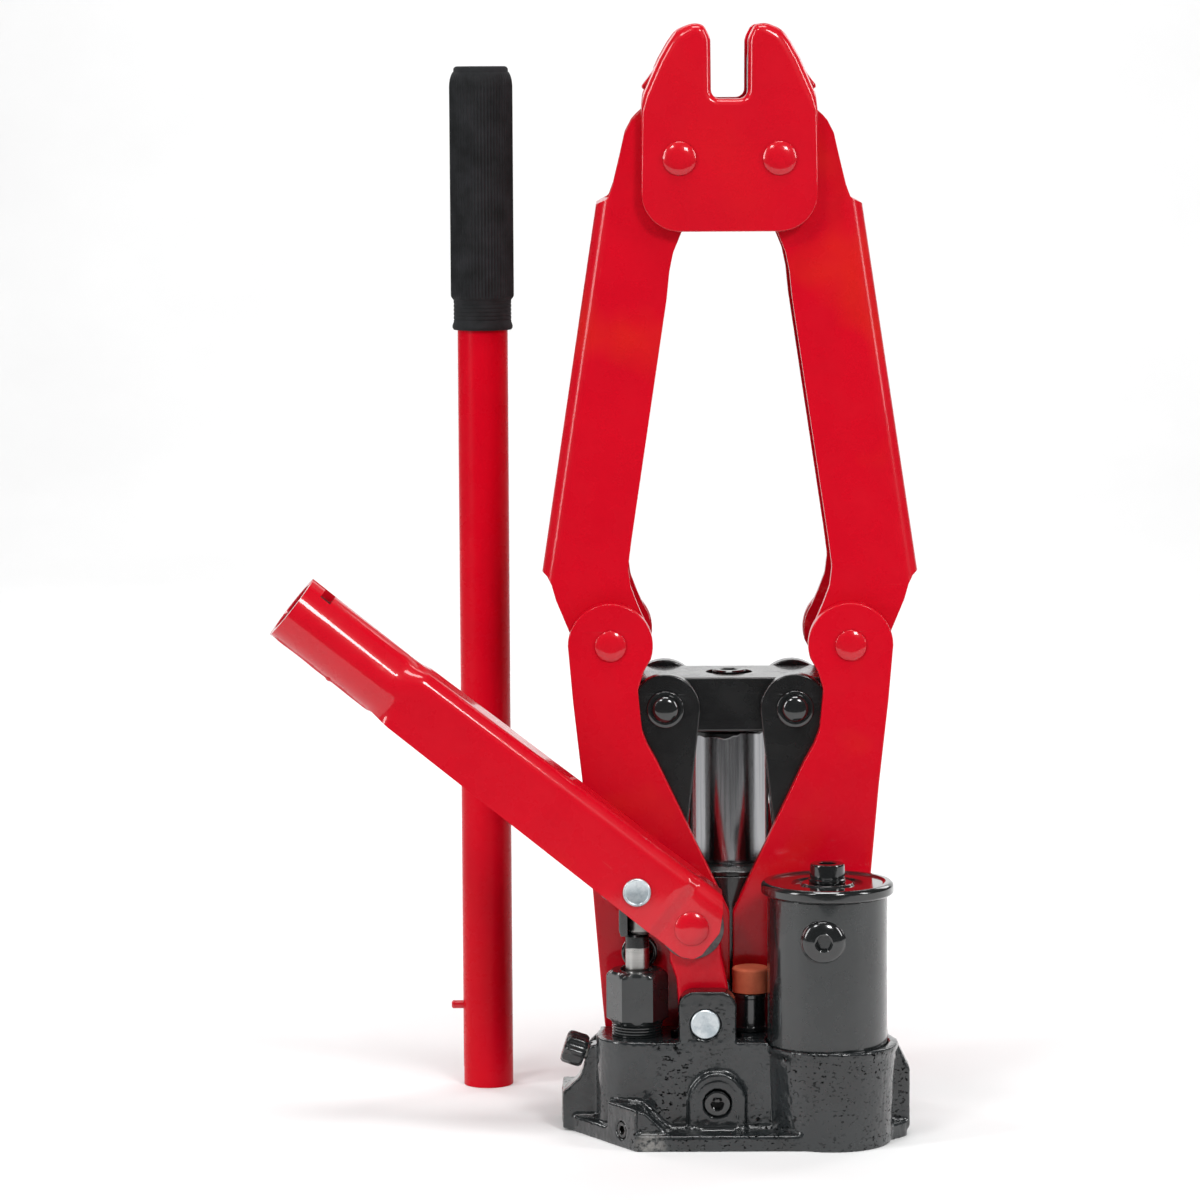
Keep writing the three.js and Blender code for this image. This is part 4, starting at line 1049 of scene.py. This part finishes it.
piece(fulcrum_link(), "fulcrum_link_cast", "fulcrum_link", RED_PEEL, ["fulcrum_link"])
for word, y in (("front", PUMP[1] - 10.2), ("rear", PUMP[1] + 10.2)):
    washer = turned([(6.9, -0.9), (16, -0.9), (16, 0.9), (6.9, 0.9)], 0.35, steps=72, closed=True)
    name = f"fulcrum_washer_{word}"
    piece(washer.moved(to_front(FULCRUM, y)), f"{name}_stamped", "fulcrum_link", WASHER, [name])

# The lever's channel: half its width, its wall, the height of its open side and the socket's radius
HALF = 17
WALL = 3.2
LIP = -15.4
SOCKET = 17.25


def channel_section(half, top, bend, share, reach):
    """Half-open box of the lever, blended towards a circle of the given reach by share."""
    box_side = [(half, LIP + (top - bend - LIP) * k / 8) for k in range(8)]
    corner = arc(half - bend, top - bend, bend, 0, 90, 8)
    middle = [((half - bend) * (1 - k / 4), top) for k in range(1, 4)]
    right = [*box_side, *corner, *middle, (0, top)]
    points = right + [(-y, z) for y, z in reversed(right[:-1])]
    lengths = [0]
    for a, b in zip(points, points[1:]):
        lengths.append(lengths[-1] + math.dist(a, b))
    out = []
    for (y, z), run in zip(points, lengths):
        turn = math.radians(-63 + 306 * run / lengths[-1])
        out.append((y + (reach * math.cos(turn) - y) * share, z + (reach * math.sin(turn) - z) * share))
    return out


def lever_channel():
    """The folded channel, round at its socket and drawn in at its nose."""
    rings = []
    for s in (
        58, 60.5, 62.5, 64.5, 66.5, 68.5, 70.5, 72.5, 74.5, 78, 84, 120, 190, 234, 236.4, 237.4, 238.4, 241.6,
        242.6, 243.6, 250, 275,
    ):
        share = eased(ramp(s, 75, 60.5))
        half = HALF - 2.2 * eased(ramp(s, 236.4, 243.6))
        top = 17.4 + 2.6 * ramp(s, 66, 190) + 0.8 * ramp(s, 190, 250)
        outer = channel_section(half, top, 7.5, share, SOCKET)
        inner = channel_section(half - WALL, top - WALL, 4.3, share, SOCKET - WALL)
        rings.append([(s, y, z) for y, z in outer + inner[::-1]])
    return lofted(rings)


def lever():
    """The channel and the socket tube, along X from the socket's mouth."""
    channel = work(lever_channel())
    side = rounded([
        (50, -30), (50, 40), (252, 40), (255.5, 20.9, 2), (260, 15.8, 3), (265.6, 6, 3), (265.6, -8, 3),
        (263.6, -12.5, 3), (257.8, LIP - 0.1, 2), (245, LIP - 0.1), (245, -30),
    ])
    carve(channel, [plate(side, -30, 30, 0)], "INTERSECT")
    to_lever = LEVER.inverted()
    carve(channel, [
        rod(PIN_HOLE, 30, 100).moved(to_lever @ to_front(FULCRUM)),
        rod(4.1, 30, 100).moved(to_lever @ to_front(PUMP_PIN)),
    ])
    soften(channel, 0.5, 50)
    tube = work(lathe([
        (0, 58), (13.2, 58), (13.2, 0.4), (13.5, 0), (16.9, 0), (17.3, 0.5), (17.3, 61), (16.6, 63.4),
        (14, 64.4), (0, 64.4),
    ], 96).moved(TO_SIDE))
    carve(tube, [box(-2, 14.6, -2.2, 2.2, 8, 22), box(8.6, 14.6, -10.2, 0, 4, 22)])
    carve(tube, [box(-30, 0, -60, 60, -60, 60).moved(at(0, 17.2) @ spin(2.4, "Z"))])
    soften(tube, 0.35, 60)
    return channel, tube


def seam_bead(steps=64):
    """The uneven weld run along the underside of the socket."""
    rings = []
    for k in range(steps):
        turn = math.radians(-112 + 1.2 * math.sin(k * 0.25))
        size = 0.8 + 0.1 * math.sin(k * 0.3) + 0.9 * math.exp(-((k - 36.5) / 1.2) ** 2)
        size *= min(k + 1, steps - k, 4) / 4
        out = Vector((0, math.cos(turn), math.sin(turn)))
        across = Vector((0, -math.sin(turn), math.cos(turn)))
        centre = out * 17.1 + Vector((2.5 + 0.94 * k, 0, 0))
        rings.append(bead(centre, out * size * 0.8, across * size * 1.4, 10))
    return lofted(rings)


channel, socket = lever()
for part, name, nodes in (
    (channel, "pump_lever_channel", ["pump_lever"]),
    (socket, "pump_lever_socket", []),
    (work(seam_bead()), "pump_lever_seam", []),
):
    part.data.transform(LEVER)
    piece(part, name, "pump_lever", RED_LEVER, nodes, sharp=40)

# A thin sleeve of painted shade inside the socket, which darkens its inside and closes the notch from within.
lining = lathe([(13.05, 1.5), (13.18, 1.5), (13.18, 57.8), (13.05, 57.8)], 96, closed=True)
piece(lining.moved(LEVER @ TO_SIDE), "pump_lever_socket_shade_lining", "pump_lever", SOCKET_SHADE)

fulcrum_rivet = pin(PIN, half_dome(8.4, 15.1, 0.5, 1.7)).moved(to_front(FULCRUM, PUMP[1]))
piece(fulcrum_rivet, "fulcrum_rivet", "pump_lever", RED, ["fulcrum_pin"])
pin_front = [(7, 17.3), (7, 18.2), (6.7, 18.7), (6.2, 18.9), (5.7, 18.7), (5.5, 18.5), (0, 18.4)]
plunger_pin = lathe([(0, -16.6), (3.8, -16.6), (3.8, 17.3), *pin_front]).moved(to_front(PUMP_PIN, PUMP[1]))
piece(plunger_pin, "plunger_pin_plated", "pump_lever", ZINC, ["plunger_pin"])

plunger_rod = turned([(0, 46), (5.9, 46), (5.9, 100.2), (5.2, 101.4), (0, 101.4)], 0.4, steps=72)
piece(plunger_rod.moved(at(*PUMP)), "plunger_rod_ground", "plunger", ROD, ["plunger"])
TANG = at(-45.6, PUMP[1])


def clevis():
    outline = [(-8, 101), (8, 101), (9, 104), *arc(0, 126, 9, 0, 180, 20), (-9, 104)]
    places = [(PUMP[0] + x, z) for x, z in outline]
    body = work(plate(places, PUMP[1] - 8, PUMP[1] + 8, 0.9, [(*PUMP_PIN, 5.9)]))
    carve(body, [box(-52, -30, -80, PUMP[1] + 1, 98, 113), rod(6.6, 98, 114).moved(TANG)])
    return soften(body, 0.4, 60)


piece(clevis(), "plunger_clevis", "plunger", BLACK_WET)
tang = [(0, 101.2), (4.6, 101.2), (6.3, 103.4, 1.4), (6.3, 111, 0.6), (5.4, 113.2, 0.6), (0, 113.2)]
tang = turned(tang, 0.5, steps=72).moved(TANG)
piece(tang, "plunger_polished_tang", "plunger", STEEL, sharp=60)


# ---- Loose handle ----
PEG = 42


def handle_tube():
    tube = work(turned([(10.6, 0), (12.9, 0), (12.9, 520), (10.6, 520)], 0.5, steps=96, closed=True))
    carve(tube, [box(-14, -6, -2.6, 2.6, -2, 9.6), rod(2.5, -18, -6).moved(at(0, 0, PEG) @ TO_SIDE)])
    tube.data.transform(at(*HANDLE))
    return tube


def grip():
    """A moulded grip: ribbed lengthwise between a rounded shoulder and a banded cuff."""
    wall = 13.2
    cuff = [(wall, 394.6), (14.8, 394.6), (15.4, 395.4), (15.5, 396.4), (15.2, 397.6), (14.8, 398.4)]
    for k in range(5):
        z = 399.2 + 2 * k
        cuff += [(14.8, z), (14.55, z + 0.5), (14.8, z + 1)]
    ribbed = [
        (14.8, 409.8), (15.5, 410.6, None, 0), (16.1, 411.6, None, 0.4), (16.2, 412.8, None, 1),
        (16.2, 465, None, 1), (16.2, 518.5, None, 1), (16.1, 520.4, None, 0.8), (15.8, 522.4, None, 0.5),
        (15.2, 524.4, None, 0.2), (14.6, 525.6),
    ]
    crown = [
        (14.3, 526), (14.1, 526), (14, 526.4), (13.9, 527.8), (13.2, 528.7), (12.2, 529), (0, 529),
        (0, 520.3), (wall, 520.3), (wall, 394.6),
    ]
    return lathe(cuff + ribbed + crown, steps=360, ribs=60, depth=0.6)


piece(handle_tube(), "handle_tube_notched", "handle", RED_TUBE, ["handle_tube"])
piece(grip().moved(at(*HANDLE)), "handle_grip_ribbed", "handle", RUBBER, ["handle_grip"], sharp=35)
peg = turned([(0, 8), (2.15, 8), (2.15, 18.2, 0.5), (1.6, 18.9, 0.4), (0, 18.9)], 0.3, steps=32)
peg.moved(at(*HANDLE, PEG) @ spin(-90, "Y"))
piece(peg, "handle_bayonet_peg", "handle", RED, ["handle_peg"], sharp=60)

# ---- CAD nodes that stay as they are ----
for name, material in (
    ("base_pivot_pin_left", TURNED), ("base_pivot_pin_right", TURNED),
    ("ram_piston", TURNED), ("piston_seal", RUBBER), ("plunger_seal", RUBBER),
):
    NODES[name].data.materials.clear()
    NODES[name].data.materials.append(material)
    modify(
        NODES[name], "BEVEL", width=0.3 * MM, segments=2, limit_method="ANGLE", angle_limit=math.radians(40),
    )


# ---- Floor, lights and camera ----
def floor():
    """A pale table top, open at the front and curving up far behind the object."""
    g = Graph("pale_floor", Specular_IOR_Level=0.2)
    tone = g.spread(g.noise(3, 4), 0.3, 0.7)
    g.put(Base_Color=g.blend(tone, (238.61, 238.61, 238.61), (243.45, 243.45, 243.45)), Roughness=0.7)
    profile = [
        (-786, -900), (-786, -36), *arc(-750, -36, 36, 180, 90, 8)[1:], (2200, 0),
        *arc(2200, 1500, 1500, -90, 0, 16)[1:], (3700, 6000),
    ]
    shape = Shape()
    rows = [shape.ring([(x, y, z) for x in (-2600, 2600)]) for y, z in profile]
    shape.faces += [(a[0], a[1], b[1], b[0]) for a, b in zip(rows, rows[1:])]
    obj = work(shape)
    scaled(obj, "floor_sweep", g.material)


def softbox(name, place, width, height, radiance, target=(0, 0, 0.27)):
    """A rectangular lamp, hidden from the camera, that glows evenly towards its target."""
    light = bpy.data.lights.new(name, "AREA")
    light.shape = "RECTANGLE"
    light.size, light.size_y = width, height
    light.energy = radiance * math.pi * width * height
    obj = bpy.data.objects.new(name, light)
    obj.location = place
    obj.rotation_euler = (Vector(target) - Vector(place)).to_track_quat("-Z", "Y").to_euler()
    obj.visible_camera = False
    bpy.context.scene.collection.objects.link(obj)


floor()
softbox("key_left", (-2, -1.1, 1), 0.45, 1.4, 10.5)
softbox("key_right", (2.1, -0.9, 1.1), 0.45, 1.3, 10)
softbox("upper_front", (0.75, -1.75, 1.5), 0.45, 0.5, 26)
softbox("upper_left", (-0.9, -1.5, 1.9), 0.4, 0.4, 19)
softbox("top", (0, -0.5, 2.3), 1, 0.5, 11)
softbox("rear_left", (-1.3, 1.3, 1.2), 0.6, 0.9, 5)
softbox("rear_right", (1.3, 1.3, 1.2), 0.6, 0.9, 4)
softbox("backdrop", (0, 1.4, 2.6), 3, 0.8, 8.5, (0, 3.4, 0.6))

world = bpy.data.worlds.new("studio")
world.use_nodes = True
tree = world.node_tree
sky = tree.nodes["Background"]
sky.inputs["Color"].default_value = (1, 1, 1, 1)
seen = tree.nodes.new("ShaderNodeMapRange")
tree.links.new(tree.nodes.new("ShaderNodeLightPath").outputs["Is Camera Ray"], seen.inputs["Value"])
seen.inputs["To Min"].default_value = 0.1
seen.inputs["To Max"].default_value = 0.92
tree.links.new(seen.outputs["Result"], sky.inputs["Strength"])
bpy.context.scene.world = world
bpy.context.scene.view_settings.view_transform = "Standard"

camera = bpy.data.cameras.new("camera")
camera.sensor_width = 36
camera.lens = 143.35
viewer = bpy.data.objects.new("camera", camera)
viewer.location = (-0.0511, -2.4, 0.539)
viewer.rotation_euler = Euler([math.radians(a) for a in (83.385, 0.3, 0.299)], "XYZ")
bpy.context.scene.collection.objects.link(viewer)
bpy.context.scene.camera = viewer
